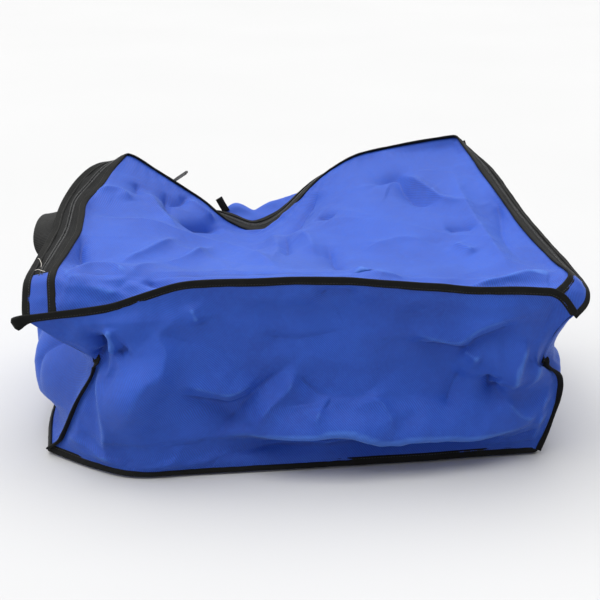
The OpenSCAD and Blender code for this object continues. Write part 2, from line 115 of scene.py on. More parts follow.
def along(line, axis, share, low=None, high=None):
    """Points of a line at shares of its running coordinate."""
    a = line[0, axis] if low is None else low
    b = line[-1, axis] if high is None else high
    return at(line, axis, a + (b - a) * np.asarray(share, float))


def rounded(paths, radius):
    """One line through several that meet end to end, with its corners rounded."""
    whole = paths[0]
    corners = []
    for p in paths[1:]:
        corners.append(lengths(whole)[-1])
        whole = np.vstack([whole, p[1:]])
    line, s = resample(whole, 1.5 * MM)
    size = int(radius / (1.5 * MM))
    padded = np.pad(line, ((size, size), (0, 0)), mode="edge")
    soft = np.mean([padded[i : i + len(line)] for i in range(2 * size + 1)], axis=0)
    near = np.min([abs(s - c) for c in corners], axis=0)
    w = np.clip(2 - near / radius, 0, 1)[:, None]
    return line * (1 - w) + soft * w


FRONT = seam(["front_seam_binding"], X)
LID_BACK = seam(["lid_back_binding"], X)
RIM_BACK = seam(["rim_back_binding"], X)
LOW_FRONT = seam(["bottom_front_binding"], X)
LOW_BACK = seam(["bottom_back_binding"], X)
LID_LEFT = seam(["left_tab_binding", "lid_left_binding"], Y)
LID_RIGHT = seam(["right_tab_binding", "lid_right_binding"], Y)
RIM_LEFT = seam(["rim_left_binding"], Y)
RIM_RIGHT = seam(["rim_right_binding"], Y)
LOW_LEFT = seam(["bottom_left_binding"], Y)
LOW_RIGHT = seam(["bottom_right_binding"], Y)
UP_FRONT_LEFT = seam(["front_left_binding"], Z)
UP_FRONT_RIGHT = seam(["front_right_binding"], Z)
UP_BACK_LEFT = seam(["back_left_binding"], Z)
UP_BACK_RIGHT = seam(["back_right_binding"], Z)

JOINTS = {j["name"]: j for j in frame["joints"]}
FOLD_Y = JOINTS["lid_opening"]["pos_m"][Y]
FOLD_GAP = 6 * MM
ZIP_START = FOLD_Y + 1.5 * MM

# Where the lid's back edge and the rim face each other across the zip: x of each
BACK_MATCH = np.array([
    (-0.2344, -0.2464), (-0.2194, -0.2204), (-0.1314, -0.1324), (-0.1024, -0.1114),
    (-0.0684, -0.0684), (-0.0464, -0.0484), (0.0036, 0.0016), (0.1976, 0.2056),
])


def zip_pairs():
    """Facing points on the lid's edge and the rim, from the left corner round to the right one."""
    t = np.linspace(0, 1, 23)
    left = np.hstack([along(LID_LEFT, Y, t, ZIP_START), along(RIM_LEFT, Y, t, ZIP_START)])
    x = np.linspace(BACK_MATCH[0, 0], BACK_MATCH[-1, 0], 41)
    back = np.hstack([
        at(LID_BACK, X, x),
        at(RIM_BACK, X, np.interp(x, BACK_MATCH[:, 0], BACK_MATCH[:, 1])),
    ])
    t = t[::-1]
    right = np.hstack([along(LID_RIGHT, Y, t, ZIP_START), along(RIM_RIGHT, Y, t, ZIP_START)])
    return smooth(np.vstack([left, back[1:-1], right]), 6)


def straightened(line, across):
    """The zip's middle and its crosswise direction, made even where the slider runs."""
    joint = JOINTS["slider_run"]
    way, (low, high) = unit(joint["axis"]), joint["range_m"]
    slider = np.mean([v.co for v in NODES["slider_body"].data.vertices], axis=0)
    away = ((line - slider) ** 2).sum(1)
    near = np.argmin(away)
    t = (line - line[near]) @ way
    past = np.maximum(low - 12 * MM - t, t - high - 12 * MM) / (25 * MM)
    w = np.clip(1 - past, 0, 1) * (away < 0.09**2)
    w = (w * w * (3 - 2 * w))[:, None]
    line = line + (line[near] + t[:, None] * way - line) * w
    return line, unit(across + (across[near] - across) * w)


ZIP = zip_pairs()
ZIP_LINE, ZIP_ACROSS = straightened(
    (ZIP[:, :3] + ZIP[:, 3:]) / 2, unit(ZIP[:, 3:] - ZIP[:, :3])
)
ZIP_OUT = unit(np.cross(np.gradient(ZIP_LINE, axis=0), ZIP_ACROSS))


# ---------------------------------------------------------------- panels


def swell(u, v, u0, v0, su, sv):
    def bell(a, centre, half):
        return np.cos(np.pi / 2 * np.clip(abs(a - centre) / half, 0, 1)) ** 2

    return (bell(u[None, :], u0, su) * bell(v[:, None], v0, sv))[..., None]


def patch(u, v, low, high, left, right, swells=()):
    """A grid of points between four boundary lines, each a function of a share.
    Rows follow v and columns follow u."""
    u, v = np.atleast_1d(u).astype(float), np.atleast_1d(v).astype(float)
    c, r = u[None, :, None], v[:, None, None]
    corners = (
        (1 - c) * (1 - r) * low(0) + c * (1 - r) * low(1) + (1 - c) * r * high(0) + c * r * high(1)
    )
    g = (
        (1 - r) * low(u)[None] + r * high(u)[None]
        + (1 - c) * left(v)[:, None] + c * right(v)[:, None] - corners
    )
    for direction, size, place in swells:
        g = g + np.array(direction) * size * MM * swell(u, v, *place)
    return g


def front_patch(u, v):
    return patch(
        u, v,
        lambda s: along(LOW_FRONT, X, s),
        lambda s: along(FRONT, X, s, RIM_LEFT[0, X], RIM_RIGHT[0, X]),
        lambda s: along(UP_FRONT_LEFT, Z, s),
        lambda s: along(UP_FRONT_RIGHT, Z, s),
        [
            ((0, -1, 0), 15, (0.65, 0.2, 0.5, 0.2)),
            ((0, 1, -0.2), 10, (0.5, 0.86, 0.5, 0.14)),
            ((-0.4, -1, 0), 26, (0.12, 0.55, 0.12, 0.42)),
            ((0.2, -1, 0), 14, (0.88, 0.6, 0.12, 0.4)),
        ],
    )


def back_patch(u, v):
    return patch(
        u, v,
        lambda s: along(LOW_BACK, X, s),
        lambda s: along(RIM_BACK, X, s),
        lambda s: along(UP_BACK_LEFT, Z, s),
        lambda s: along(UP_BACK_RIGHT, Z, s),
        [
            ((0, 1, 0), 42, (0.36, 0.72, 0.3, 0.28)),
            ((0, 0.25, 1), 36, (0.45, 0.87, 0.18, 0.125)),
            ((0, 0.1, 1), 22, (0.34, 0.87, 0.07, 0.125)),
        ],
    )


def left_patch(u, v):
    return patch(
        u, v,
        lambda s: along(LOW_LEFT, Y, s),
        lambda s: along(RIM_LEFT, Y, s),
        lambda s: along(UP_FRONT_LEFT, Z, s),
        lambda s: along(UP_BACK_LEFT, Z, s),
        [
            ((-1, 0, 0), 48, (0.4, 0.5, 0.4, 0.5)),
            ((-1, 0, 0), 10, (0.7, 0.4, 0.3, 0.4)),
            ((-1, 0, 0), 22, (0.2, 0.34, 0.2, 0.32)),
        ],
    )


def right_patch(u, v):
    return patch(
        u, v,
        lambda s: along(LOW_RIGHT, Y, s),
        lambda s: along(RIM_RIGHT, Y, s),
        lambda s: along(UP_FRONT_RIGHT, Z, s),
        lambda s: along(UP_BACK_RIGHT, Z, s),
        [((1, 0, 0), 4, (0.5, 0.45, 0.4, 0.45))],
    )


def bottom_patch(u, v):
    g = patch(
        u, v,
        lambda s: along(LOW_FRONT, X, s),
        lambda s: along(LOW_BACK, X, s),
        lambda s: along(LOW_LEFT, Y, s),
        lambda s: along(LOW_RIGHT, Y, s),
    )
    edge = np.minimum.reduce([
        *np.broadcast_arrays(u[None, :], 1 - u[None, :], 1.5 * v[:, None], 1.5 * (1 - v[:, None]))
    ])
    lift = np.clip(1 - edge / 0.03, 0, 1) ** 2
    g[..., Z] = 0.7 * MM + (g[..., Z] - 0.7 * MM) * lift
    return g


def lid_patch(u, v):
    """The lid and its margin in front of the fold, as one cloth. v is a share of the depth."""
    y0, y2 = LID_LEFT[0, Y], LID_LEFT[-1, Y]
    y = y0 + (y2 - y0) * v
    crest = swell(u, np.zeros(1), 0.42, 0, 0.42, 1) * np.array([0, 0, 2 * MM])

    def part(low, high, a, b, ys):
        def side(line):
            return lambda s: at(line, Y, a + (b - a) * np.asarray(s, float))

        return patch(u, (ys - a) / (b - a), low, high, side(LID_LEFT), side(LID_RIGHT))

    def straight(y):
        a, b = at(LID_LEFT, Y, y), at(LID_RIGHT, Y, y)
        return lambda s: a + (b - a) * np.asarray(s, float)[..., None]

    near, far = FOLD_Y - FOLD_GAP / 2, FOLD_Y + FOLD_GAP / 2
    ys = y[y <= near]
    margin = part(
        lambda s: along(FRONT, X, s, LID_LEFT[0, X], LID_RIGHT[0, X]), straight(near), y0, near, ys
    ) + crest * ((ys - y0) / (near - y0))[:, None, None]
    ys = y[y >= far]
    back = part(straight(far), lambda s: along(LID_BACK, X, s), far, y2, ys)
    back = back + crest * (1 - (ys - far) / (y2 - far))[:, None, None] ** 2
    return np.vstack([margin, back])


def normals(g):
    return unit(np.cross(np.gradient(g, axis=1), np.gradient(g, axis=0)))


def edge_fade(shape, cells):
    """0 on the border of a grid, rising to 1 a few cells inside it."""
    r, c = np.indices(shape)
    t = np.clip(np.minimum.reduce([r, c, shape[0] - 1 - r, shape[1] - 1 - c]) / cells, 0, 1)
    return (t * t * (3 - 2 * t))[..., None]


def crease(plan, path, height, left, right=None, deeper=1.45):
    """Height of a fold along a path, all in mm in the panel's own plan.
    left and right are how far it spreads on each side of the path."""
    path = smooth(path, 6)
    run = lengths(path)
    best = np.full(plan.shape[:-1], 1e9)
    side, share = np.zeros_like(best), np.zeros_like(best)
    for i, (a, b) in enumerate(zip(path[:-1], path[1:])):
        ab = b - a
        t = np.clip(((plan - a) @ ab) / (ab @ ab), 0, 1)
        off = plan - (a + t[..., None] * ab)
        d = np.linalg.norm(off, axis=-1)
        nearer = d < best
        best = np.where(nearer, d, best)
        side = np.where(nearer, np.sign(ab[0] * off[..., 1] - ab[1] * off[..., 0]), side)
        share = np.where(nearer, (run[i] + t * (run[i + 1] - run[i])) / run[-1], share)
    w = np.where(side > 0, left, right or left)
    fade = np.clip(np.minimum(share, 1 - share) * 3.5, 0, 1)
    fade = 0.12 + 0.88 * fade * fade * (3 - 2 * fade)
    return deeper * height * MM * fade * np.exp(-(np.sqrt(best**2 + 1) - 1) / w)


def rumple(g, seed, size=70 * MM, height=2.2 * MM):
    """Flat facets that meet in straight creases, as in cloth that was folded in its packet."""
    out = np.empty(g.shape[:2])
    off = Vector((seed * 7.3, seed * 3.1, seed * 5.7))

    def facets(p):
        near = noise.voronoi(p)[0]
        return near[1] - near[0]

    for i, row in enumerate(g):
        for j, point in enumerate(row):
            p = Vector((point[0] * 0.8 + point[1] * 0.3, point[1], point[2])) / size
            p = p + off + noise.noise_vector(p * 1.3) * 0.12
            out[i, j] = 0.32 * facets(p * 2.1 + off) - facets(p)
    return (out - out.mean()) * height


def make_mesh(name, verts, faces, uv=None, slots=None):
    mesh = bpy.data.meshes.new(name)
    mesh.from_pydata(np.asarray(verts, float).tolist(), [], faces)
    mesh.update()
    if uv is not None:
        layer = mesh.uv_layers.new(name="flat")
        loops = np.empty(len(mesh.loops), dtype=np.int32)
        mesh.loops.foreach_get("vertex_index", loops)
        layer.data.foreach_set("uv", np.asarray(uv, float)[loops].astype(np.float32).ravel())
    if slots is not None:
        mesh.polygons.foreach_set("material_index", np.asarray(slots, np.int32))
    mesh.polygons.foreach_set("use_smooth", np.ones(len(mesh.polygons), bool))
    obj = bpy.data.objects.new(name, mesh)
    bpy.context.scene.collection.objects.link(obj)
    return obj


def coordinates(obj):
    co = np.empty(len(obj.data.vertices) * 3)
    obj.data.vertices.foreach_get("co", co)
    return co.reshape(-1, 3)


def apply_modifiers(obj):
    depsgraph = bpy.context.evaluated_depsgraph_get()
    mesh = bpy.data.meshes.new_from_object(obj.evaluated_get(depsgraph))
    obj.modifiers.clear()
    old, obj.data = obj.data, mesh
    bpy.data.meshes.remove(old)


def grid_faces(g, flip=False):
    """Quads between the rows and columns of a grid."""
    ids = np.arange(g.shape[0] * g.shape[1]).reshape(g.shape[:2])
    quads = np.stack([ids[:-1, :-1], ids[:-1, 1:], ids[1:, 1:], ids[1:, :-1]], -1)
    return (quads[..., ::-1] if flip else quads).reshape(-1, 4).tolist()


def settle(g, growth, gravity, cap, frames=24):
    """How far each point of a grid moves as cloth that is held at its seams and was cut a little
    larger than the space between them, so that it buckles."""
    obj = make_mesh("trial", g.reshape(-1, 3), grid_faces(g))
    ids = np.arange(g.shape[0] * g.shape[1]).reshape(g.shape[:2])
    border = np.unique(np.r_[ids[0], ids[-1], ids[:, 0], ids[:, -1]])
    obj.vertex_groups.new(name="held").add(border.tolist(), 1.0, "REPLACE")
    cloth = obj.modifiers.new("cloth", "CLOTH")
    s = cloth.settings
    s.quality = 5
    s.mass = 0.2
    s.tension_stiffness = s.compression_stiffness = 25
    s.shear_stiffness = 10
    s.bending_stiffness = 4.0
    s.tension_damping = s.compression_damping = s.shear_damping = 10
    s.air_damping = 4
    s.shrink_min = s.shrink_max = -growth
    s.vertex_group_mass = "held"
    s.effector_weights.gravity = gravity
    cloth.collision_settings.use_collision = False
    cloth.point_cache.frame_start, cloth.point_cache.frame_end = 1, frames
    for f in range(1, frames + 1):
        bpy.context.scene.frame_set(f)
    apply_modifiers(obj)
    moved = coordinates(obj).reshape(g.shape) - g
    bpy.data.objects.remove(obj)
    bpy.context.scene.frame_set(1)
    far = np.linalg.norm(moved, axis=-1, keepdims=True)
    return moved * cap * np.tanh(far / cap) / np.maximum(far, 1e-9) * edge_fade(g.shape[:2], 4)


def spread(a, old, new):
    """Rows of a, known at old shares, at new shares instead."""
    i = np.clip(np.searchsorted(old, new) - 1, 0, len(old) - 2)
    f = ((new - old[i]) / (old[i + 1] - old[i]))[:, None, None]
    f = f * f * (3 - 2 * f)
    return a[i] * (1 - f) + a[i + 1] * f


def mark_wear_and_shade(mesh, scale=2.2):
    """Stores how sharply the cloth is folded, plus on a ridge and minus in a valley. The cloth material turns it
    into a paler colour on ridges, partly rubbed wear and partly painted highlight, and into painted shade in
    valleys.
    """
    co = np.empty(len(mesh.vertices) * 3)
    mesh.vertices.foreach_get("co", co)
    co = co.reshape(-1, 3)
    normal = np.empty(len(mesh.vertices) * 3)
    mesh.vertices.foreach_get("normal", normal)
    normal = normal.reshape(-1, 3)
    edges = np.empty(len(mesh.edges) * 2, dtype=np.int32)
    mesh.edges.foreach_get("vertices", edges)
    a, b = edges.reshape(-1, 2).T

    def near(x):
        total = np.zeros_like(x)
        np.add.at(total, a, x[b])
        np.add.at(total, b, x[a])
        return total

    count = near(np.ones(len(co)))
    bend = ((co - near(co) / count[:, None]) * normal).sum(1) / MM
    bend[count < 4] = 0
    for _ in range(2):
        bend = 0.4 * bend + 0.6 * near(bend) / count
    wear_highlight_and_shade = mesh.attributes.new("wear_highlight_and_shade", "FLOAT", "POINT")
    wear_highlight_and_shade.data.foreach_set("value", np.clip(bend * scale, -1, 1).astype(np.float32))


def cloth_panel(name, patch_at, size, plan, out, creases, seed, sim=None, mask=None, dents=2.2):
    """A sheet of cloth over a patch. size is its width and length, plan its two plan axes,
    and out is 1 where the grid's normals point out of the bag and -1 where they point in.
    It settles on a coarse grid, and its creases are pressed into a fine one."""
    cols, rows = (int(round(s / CELL)) + 1 for s in size)
    u, v = np.linspace(0, 1, 2 * cols - 1), np.linspace(0, 1, 2 * rows - 1)
    g = patch_at(u, v)
    moved = np.zeros_like(g)
    if sim:
        rough = patch_at(u[::2], v[::2])
        coarse, fine = (lengths(q[:, q.shape[1] // 2]) for q in (rough, g))
        moved = spread(settle(rough, **sim), coarse / coarse[-1], fine / fine[-1])
        moved = spread(moved.swapaxes(0, 1), u[::2], u).swapaxes(0, 1)
    flat = g[..., plan] / MM
    lift = sum((crease(flat, *c) for c in creases), np.zeros(g.shape[:2]))
    lift = lift + rumple(g, seed, 130 * MM, dents * MM)
    free = edge_fade(g.shape[:2], 7)
    if mask is not None:
        shield = mask(u, v)[..., None]
        free, moved = free * shield, moved * shield
    g = g + normals(g) * out * lift[..., None] * free + moved
    uv = np.stack(np.meshgrid(lengths(g[len(g) // 2]), lengths(g[:, len(u) // 2])), -1)
    obj = make_mesh(name, g.reshape(-1, 3), grid_faces(g, out < 0), uv.reshape(-1, 2))
    mark_wear_and_shade(obj.data)
    solid = obj.modifiers.new("thick", "SOLIDIFY")
    solid.thickness, solid.offset = CLOTH_T, 0
    apply_modifiers(obj)
    obj.data.polygons.foreach_set("use_smooth", np.ones(len(obj.data.polygons), bool))
    return obj


# ---------------------------------------------------------------- tapes and stitches


def turned(line, face):
    """Unit tangents along a line, the face direction square to them, and their cross product."""
    tangent = unit(np.gradient(line, axis=0))
    face = np.broadcast_to(np.asarray(face, float), line.shape)
    wide = unit(face - (face * tangent).sum(1, keepdims=True) * tangent)
    return tangent, wide, np.cross(tangent, wide)


def soften(a, n):
    """Rows of a averaged over n neighbours on each side."""
    p = np.pad(a, ((n, n), (0, 0)), mode="edge")
    return np.mean([p[i : i + len(a)] for i in range(2 * n + 1)], axis=0)


def wander(s, seed, size, pitch):
    """A smooth random offset along a length."""
    return np.array([
        noise.noise(Vector((x / pitch + seed * 11.7, seed * 3.3, seed * 1.9))) for x in s
    ]) * size * 2


def loft(rings, s, around):
    """Vertices, faces and UVs of a solid through rings of points."""
    n, m = rings.shape[:2]
    ids = np.arange(n * m).reshape(n, m)
    low, high = ids[:-1], ids[1:]
    quads = np.stack([low, high, np.roll(high, -1, 1), np.roll(low, -1, 1)], -1)
    faces = quads.reshape(-1, 4).tolist() + [ids[0].tolist(), ids[-1][::-1].tolist()]
    uv = np.stack(np.broadcast_arrays(s[:, None], around[None]), -1).reshape(-1, 2)
    return rings.reshape(-1, 3), faces, uv


def tape_profile(width, thick):
    """Half of a folded tape's outline, from its folded edge to its open edges."""
    h, t = width / 2, thick / 2
    return np.array([
        (h, 0), (h - 0.3 * MM, 0.6 * t), (h - 1.0 * MM, 0.95 * t), (h - 2.4 * MM, t),
        (0.4 * MM, 0.88 * t), (-h + 3.3 * MM, 0.92 * t), (-h + 2.3 * MM, 0.66 * t),
        (-h + 1.3 * MM, 0.95 * t), (-h + 0.2 * MM, 0.9 * t), (-h, 0.4 * t),
    ])


def stitch_row(line, wide, thick, tangent, s, offset, height, pitch=STITCH, size=0.27 * MM):
    """Short raised stitches along a line, on one face of it."""
    where = np.arange(2 * MM, s[-1] - 2 * MM, pitch)
    if len(where) == 0:
        return np.zeros((0, 3)), []

    def pick(a):
        return np.stack([np.interp(where, s, a[:, i]) for i in range(3)], -1)

    p, w, t, o = pick(line), unit(pick(wide)), unit(pick(tangent)), unit(pick(thick))
    centre = p + w * offset + o * height
    half = pitch * 0.38
    verts = []
    for run, r, sink in ((-half, 0.3, -0.6), (-half * 0.5, 1, 0), (half * 0.5, 1, 0), (half, 0.3, -0.6)):
        for a in range(4):
            c, d = math.cos(a * math.pi / 2) * r * size, math.sin(a * math.pi / 2) * r * size
            verts.append(centre + t * run + w * c + o * (d + sink * size))
    verts = np.stack(verts, 1)
    faces = []
    quad = [
        (4 * i + j, 4 * i + 4 + j, 4 * i + 4 + (j + 1) % 4, 4 * i + (j + 1) % 4)
        for i in range(3) for j in range(4)
    ] + [(0, 1, 2, 3), (15, 14, 13, 12)]
    for k in range(len(where)):
        faces += [tuple(16 * k + i for i in q) for q in quad]
    return verts.reshape(-1, 3), faces


def joined(name, parts, materials):
    """One mesh from several (vertices, faces, uv, slot) parts."""
    verts, faces, uvs, slots, n = [], [], [], [], 0
    for v, f, uv, slot in parts:
        if len(v) == 0:
            continue
        verts.append(v)
        uvs.append(uv if uv is not None else np.stack([v[:, 0] + v[:, 1], v[:, 2]], -1))
        faces += [tuple(i + n for i in q) for q in f]
        slots += [slot] * len(f)
        n += len(v)
    obj = make_mesh(name, np.vstack(verts), faces, np.vstack(uvs), slots)
    for m in materials:
        obj.data.materials.append(m)
    return obj


def binding(name, line, face, seed, out=0.0, ends=None, sway=1.0):
    """Binding tape folded over a seam, with a stitch line on both faces.
    face is the way its folded edge points and out how far it sits that way, once or along the
    line. ends scales the tape."""
    steps = lengths(line)
    line, s = resample(line, 2.5 * MM)
    face = np.asarray(face, float)
    if face.ndim == 2:
        face = np.stack([np.interp(s, steps, face[:, i]) for i in range(3)], -1)
        out = np.interp(s, steps, out) if np.ndim(out) else out
    tangent, wide, thick = turned(line, face)
    angle = wander(s, seed, 0.16 * sway, 60 * MM)[:, None]
    wide, thick = (
        wide * np.cos(angle) + thick * np.sin(angle), thick * np.cos(angle) - wide * np.sin(angle)
    )
    fade = np.clip(np.minimum(s, s[-1] - s) / (15 * MM), 0, 1)
    drift = wander(s, seed + 5, 0.5 * MM * sway, 35 * MM) * fade
    line = line + wide * (drift + out)[:, None]
    half = tape_profile(BINDING_W, BINDING_T)
    outline = np.vstack([half, half[:0:-1] * (1, -1)])
    grow = np.ones((len(s), 2)) if ends is None else ends(s)
    swell_t = 1 + 0.16 * wander(s, seed + 9, 1, 12 * MM)
    d = outline[None, :, 0] * grow[:, :1]
    n = outline[None, :, 1] * (grow[:, 1] * swell_t)[:, None]
    rings = line[:, None] + wide[:, None] * d[..., None] + thick[:, None] * n[..., None]
    around = lengths(outline)
    parts = [(*loft(rings, s, around), 0)]
    for side in (1, -1):
        v, f = stitch_row(
            line, wide, thick * side, tangent, s, -BINDING_W / 2 + 2.3 * MM, BINDING_T * 0.36
        )
        parts.append((v, f, None, 1))
    obj = joined(name, parts, [BINDING, THREAD])
    return obj


# ---------------------------------------------------------------- materials


class Surface:
    """A procedural material on a Principled shader, whose even values are set on its sockets."""

    def __init__(self, name, **values):
        self.made = bpy.data.materials.new(name)
        self.made.use_nodes = True
        self.tree = self.made.node_tree
        self.shader = self.tree.nodes["Principled BSDF"]
        for key, value in values.items():
            self.shader.inputs[key.replace("_", " ")].default_value = value

    def node(self, kind, inputs=(), **settings):
        n = self.tree.nodes.new("ShaderNode" + kind)
        for key, value in settings.items():
            setattr(n, key, value)
        for key, value in dict(inputs).items():
            if isinstance(value, bpy.types.NodeSocket):
                self.tree.links.new(value, n.inputs[key])
            else:
                n.inputs[key].default_value = value
        return n

    def math(self, operation, a, b=0.0):
        return self.node("Math", {0: a, 1: b}, operation=operation).outputs[0]

    def blend(self, factor, a, b):
        n = self.node("Mix", {0: factor, 6: a, 7: b}, data_type="RGBA")
        return n.outputs[2]

    def ranged(self, value, low, high, a=0.0, b=1.0):
        return self.node(
            "MapRange", {0: value, 1: low, 2: high, 3: a, 4: b}, interpolation_type="SMOOTHSTEP"
        ).outputs[0]

    def flat(self):
        return self.node("UVMap", uv_map="flat").outputs[0]

    def place(self):
        return self.node("TexCoord").outputs["Object"]

    def noise(self, vector, scale, detail=3.0, rough=0.5):
        return self.node(
            "TexNoise", {"Vector": vector, "Scale": scale, "Detail": detail, "Roughness": rough}
        ).outputs[0]

    def bands(self, vector, pitch, direction="X", distortion=0.0):
        """Evenly spaced ridges. A band texture repeats every 0.314 / scale."""
        return self.node(
            "TexWave",
            {"Vector": vector, "Scale": 0.31416 / pitch, "Distortion": distortion,
             "Detail": 1.0, "Detail Scale": 1.5},
            bands_direction=direction,
        ).outputs["Fac"]

    def bump(self, height, distance, strength=1.0, under=None):
        n = self.node("Bump", {"Strength": strength, "Distance": distance, "Height": height})
        if under is not None:
            self.tree.links.new(under, n.inputs["Normal"])
        return n.outputs[0]

    def use(self, key, socket):
        self.tree.links.new(socket, self.shader.inputs[key])
        return self


def cloth_surface(name, shade, deep, body, pale, wear_and_highlight):
    """Coated twill: fine diagonal ribs with darker grooves, mottled dye, a paler colour along ridges that is
    partly rubbed wear and partly painted highlight, and painted shade in the valleys of creases.
    """
    s = Surface(
        name, Sheen_Weight=0.24, Sheen_Roughness=0.35, Sheen_Tint=(0.5, 0.72, 1.0, 1.0),
        Specular_IOR_Level=0.4,
    )
    uv, place = s.flat(), s.place()
    flipped = s.node("Mapping", {"Vector": uv, "Scale": (1, -1, 1)}).outputs[0]
    twill = s.bands(uv, 1.3 * MM, "DIAGONAL", 0.6)
    cross = s.bands(flipped, 0.8 * MM, "DIAGONAL", 0.4)
    fibre = s.noise(place, 1400, 2)
    weave = s.math("ADD", s.math("MULTIPLY", twill, 0.7), s.math("MULTIPLY", cross, 0.3))
    patches = s.noise(place, 9, 4, 0.6)
    mottle = s.noise(place, 190, 5, 0.65)
    wear_highlight_and_shade = s.node("Attribute", attribute_name="wear_highlight_and_shade").outputs["Fac"]
    colour = s.blend(s.ranged(patches, 0.3, 0.7), deep, body)
    colour = s.blend(s.ranged(mottle, 0.35, 0.7, 0, 0.3), colour, pale)
    colour = s.blend(s.ranged(weave, 0.2, 0.9, 0.5, 0), colour, shade)
    # paler along ridges: partly rubbed wear, partly painted highlight where ridges catch the light
    colour = s.blend(s.ranged(wear_highlight_and_shade, 0.3, 1.0, 0, 0.22), colour, wear_and_highlight)
    # painted shade: the cloth darkens towards the shade colour in the valleys of folds
    colour = s.blend(s.ranged(wear_highlight_and_shade, -0.9, -0.2, 0.45, 0), colour, shade)
    s.use("Base Color", colour)
    s.use("Roughness", s.ranged(s.math("ADD", mottle, s.math("MULTIPLY", weave, 0.3)), 0.3, 1.1, 0.54, 0.72))
    soft = s.bump(s.noise(place, 60, 3), 1.2 * MM, 0.35)
    grain = s.math("ADD", weave, s.math("MULTIPLY", fibre, 0.35))
    s.use("Normal", s.bump(grain, 0.3 * MM, 0.75, soft))
    return s.made


def ribbed_surface(name, dark, light, pitch, distance, roughness, sheen=0.3):
    """Woven tape with ribs across it, dusty on its high points."""
    s = Surface(name, Sheen_Weight=sheen, Sheen_Roughness=0.4, Specular_IOR_Level=0.16)
    uv, place = s.flat(), s.place()
    ribs = s.bands(uv, pitch, "X", 0.8)
    cross = s.bands(uv, pitch * 0.6, "Y", 0.5)
    weave = s.math("ADD", s.math("MULTIPLY", ribs, 0.75), s.math("MULTIPLY", cross, 0.25))
    fibre = s.noise(place, 1500, 3, 0.6)
    dust = s.noise(place, 70, 5, 0.65)
    colour = s.blend(s.ranged(weave, 0.15, 0.95), dark, light)
    colour = s.blend(s.ranged(dust, 0.45, 0.8, 0, 0.5), colour, [c * 1.4 for c in light[:3]] + [1])
    s.use("Base Color", colour)
    s.use("Roughness", s.ranged(fibre, 0.3, 0.7, roughness - 0.08, roughness + 0.08))
    s.use("Normal", s.bump(s.math("ADD", weave, s.math("MULTIPLY", fibre, 0.4)), distance, 0.7))
    return s.made


def plastic_surface(name, dark, light, roughness, grain, metallic=0.0):
    """Moulded nylon or painted metal: faint grain, small scuffs."""
    s = Surface(name, Metallic=metallic, Specular_IOR_Level=0.6, Coat_Weight=0.15, Coat_Roughness=0.2)
    place = s.place()
    scuffs = s.noise(place, grain, 6, 0.7)
    patches = s.noise(place, grain * 0.15, 2)
    s.use("Base Color", s.blend(s.ranged(scuffs, 0.5, 0.75), dark, light))
    s.use("Roughness", s.ranged(s.math("ADD", scuffs, patches), 0.7, 1.3, roughness, roughness + 0.2))
    s.use("Normal", s.bump(scuffs, 0.05 * MM, 0.35))
    return s.made


CLOTH = cloth_surface(
    "blue_cloth",
    # colours: painted shade, deep, body, pale, and a paler ridge colour that is partly rubbed wear and partly
    # painted highlight
    (0.004, 0.021, 0.18, 1), (0.011, 0.066, 0.44, 1), (0.016, 0.092, 0.56, 1),
    (0.030, 0.138, 0.66, 1), (0.12, 0.32, 0.85, 1),
)
BINDING = ribbed_surface(
    "black_binding", (0.0025, 0.0025, 0.0025, 1), (0.011, 0.011, 0.010, 1), 1.1 * MM, 0.2 * MM, 0.8,
    0.03,
)
WEBBING = ribbed_surface(
    "black_webbing", (0.004, 0.004, 0.004, 1), (0.03, 0.03, 0.029, 1), 2.1 * MM, 0.5 * MM, 0.7, 0.03
)
ZIP_TAPE = ribbed_surface(
    "zip_tape", (0.002, 0.002, 0.0021, 1), (0.009, 0.0095, 0.0095, 1), 1.6 * MM, 0.4 * MM, 0.72, 0.02
)
THREAD = plastic_surface("black_thread", (0.016, 0.016, 0.015, 1), (0.05, 0.05, 0.045, 1), 0.45, 900)
WHITE_THREAD = plastic_surface("white_thread", (0.62, 0.58, 0.52, 1), (0.85, 0.82, 0.78, 1), 0.6, 900)
COIL = plastic_surface("nylon_coil", (0.014, 0.015, 0.016, 1), (0.04, 0.042, 0.044, 1), 0.2, 500)
SLIDER = plastic_surface("painted_slider", (0.016, 0.016, 0.017, 1), (0.09, 0.09, 0.09, 1), 0.26, 420, 0.7)
PULL = plastic_surface("painted_pull", (0.02, 0.02, 0.021, 1), (0.12, 0.12, 0.12, 1), 0.22, 380, 0.8)


# ---------------------------------------------------------------- camera, light and floor

scene = bpy.context.scene
scene.view_settings.view_transform = "Standard"

camera = bpy.data.objects.new("camera", bpy.data.cameras.new("camera"))
scene.collection.objects.link(camera)
camera.data.lens, camera.data.sensor_width = 75, 36
camera.location = (-0.0064, -1.4155, 0.6499)
aim = Vector((-0.0064, 0.0128, 0.130)) - camera.location
camera.rotation_euler = aim.to_track_quat("-Z", "Y").to_euler()
camera.data.clip_start, camera.data.clip_end = 0.05, 60
scene.camera = camera

world = bpy.data.worlds.new("studio")
world.use_nodes = True
world.node_tree.nodes["Background"].inputs["Color"].default_value = (1.0, 1.0, 1.0, 1)
world.node_tree.nodes["Background"].inputs["Strength"].default_value = 0.42
scene.world = world



def soft_sun(name, energy, angle, way):
    """A light so wide that its shadows have no edge, the same all over the floor."""
    light = bpy.data.objects.new(name, bpy.data.lights.new(name, "SUN"))
    light.data.energy, light.data.angle = energy, math.radians(angle)
    light.rotation_euler = Vector(way).to_track_quat("-Z", "Y").to_euler()
    scene.collection.objects.link(light)


soft_sun("top_light", 3.4, 80, (0.10, -0.14, -1.0))
soft_sun("left_light", 1.0, 60, (1.0, 0.15, -0.4))
soft_sun("back_light", 0.8, 110, (0.0, -1.0, -0.8))

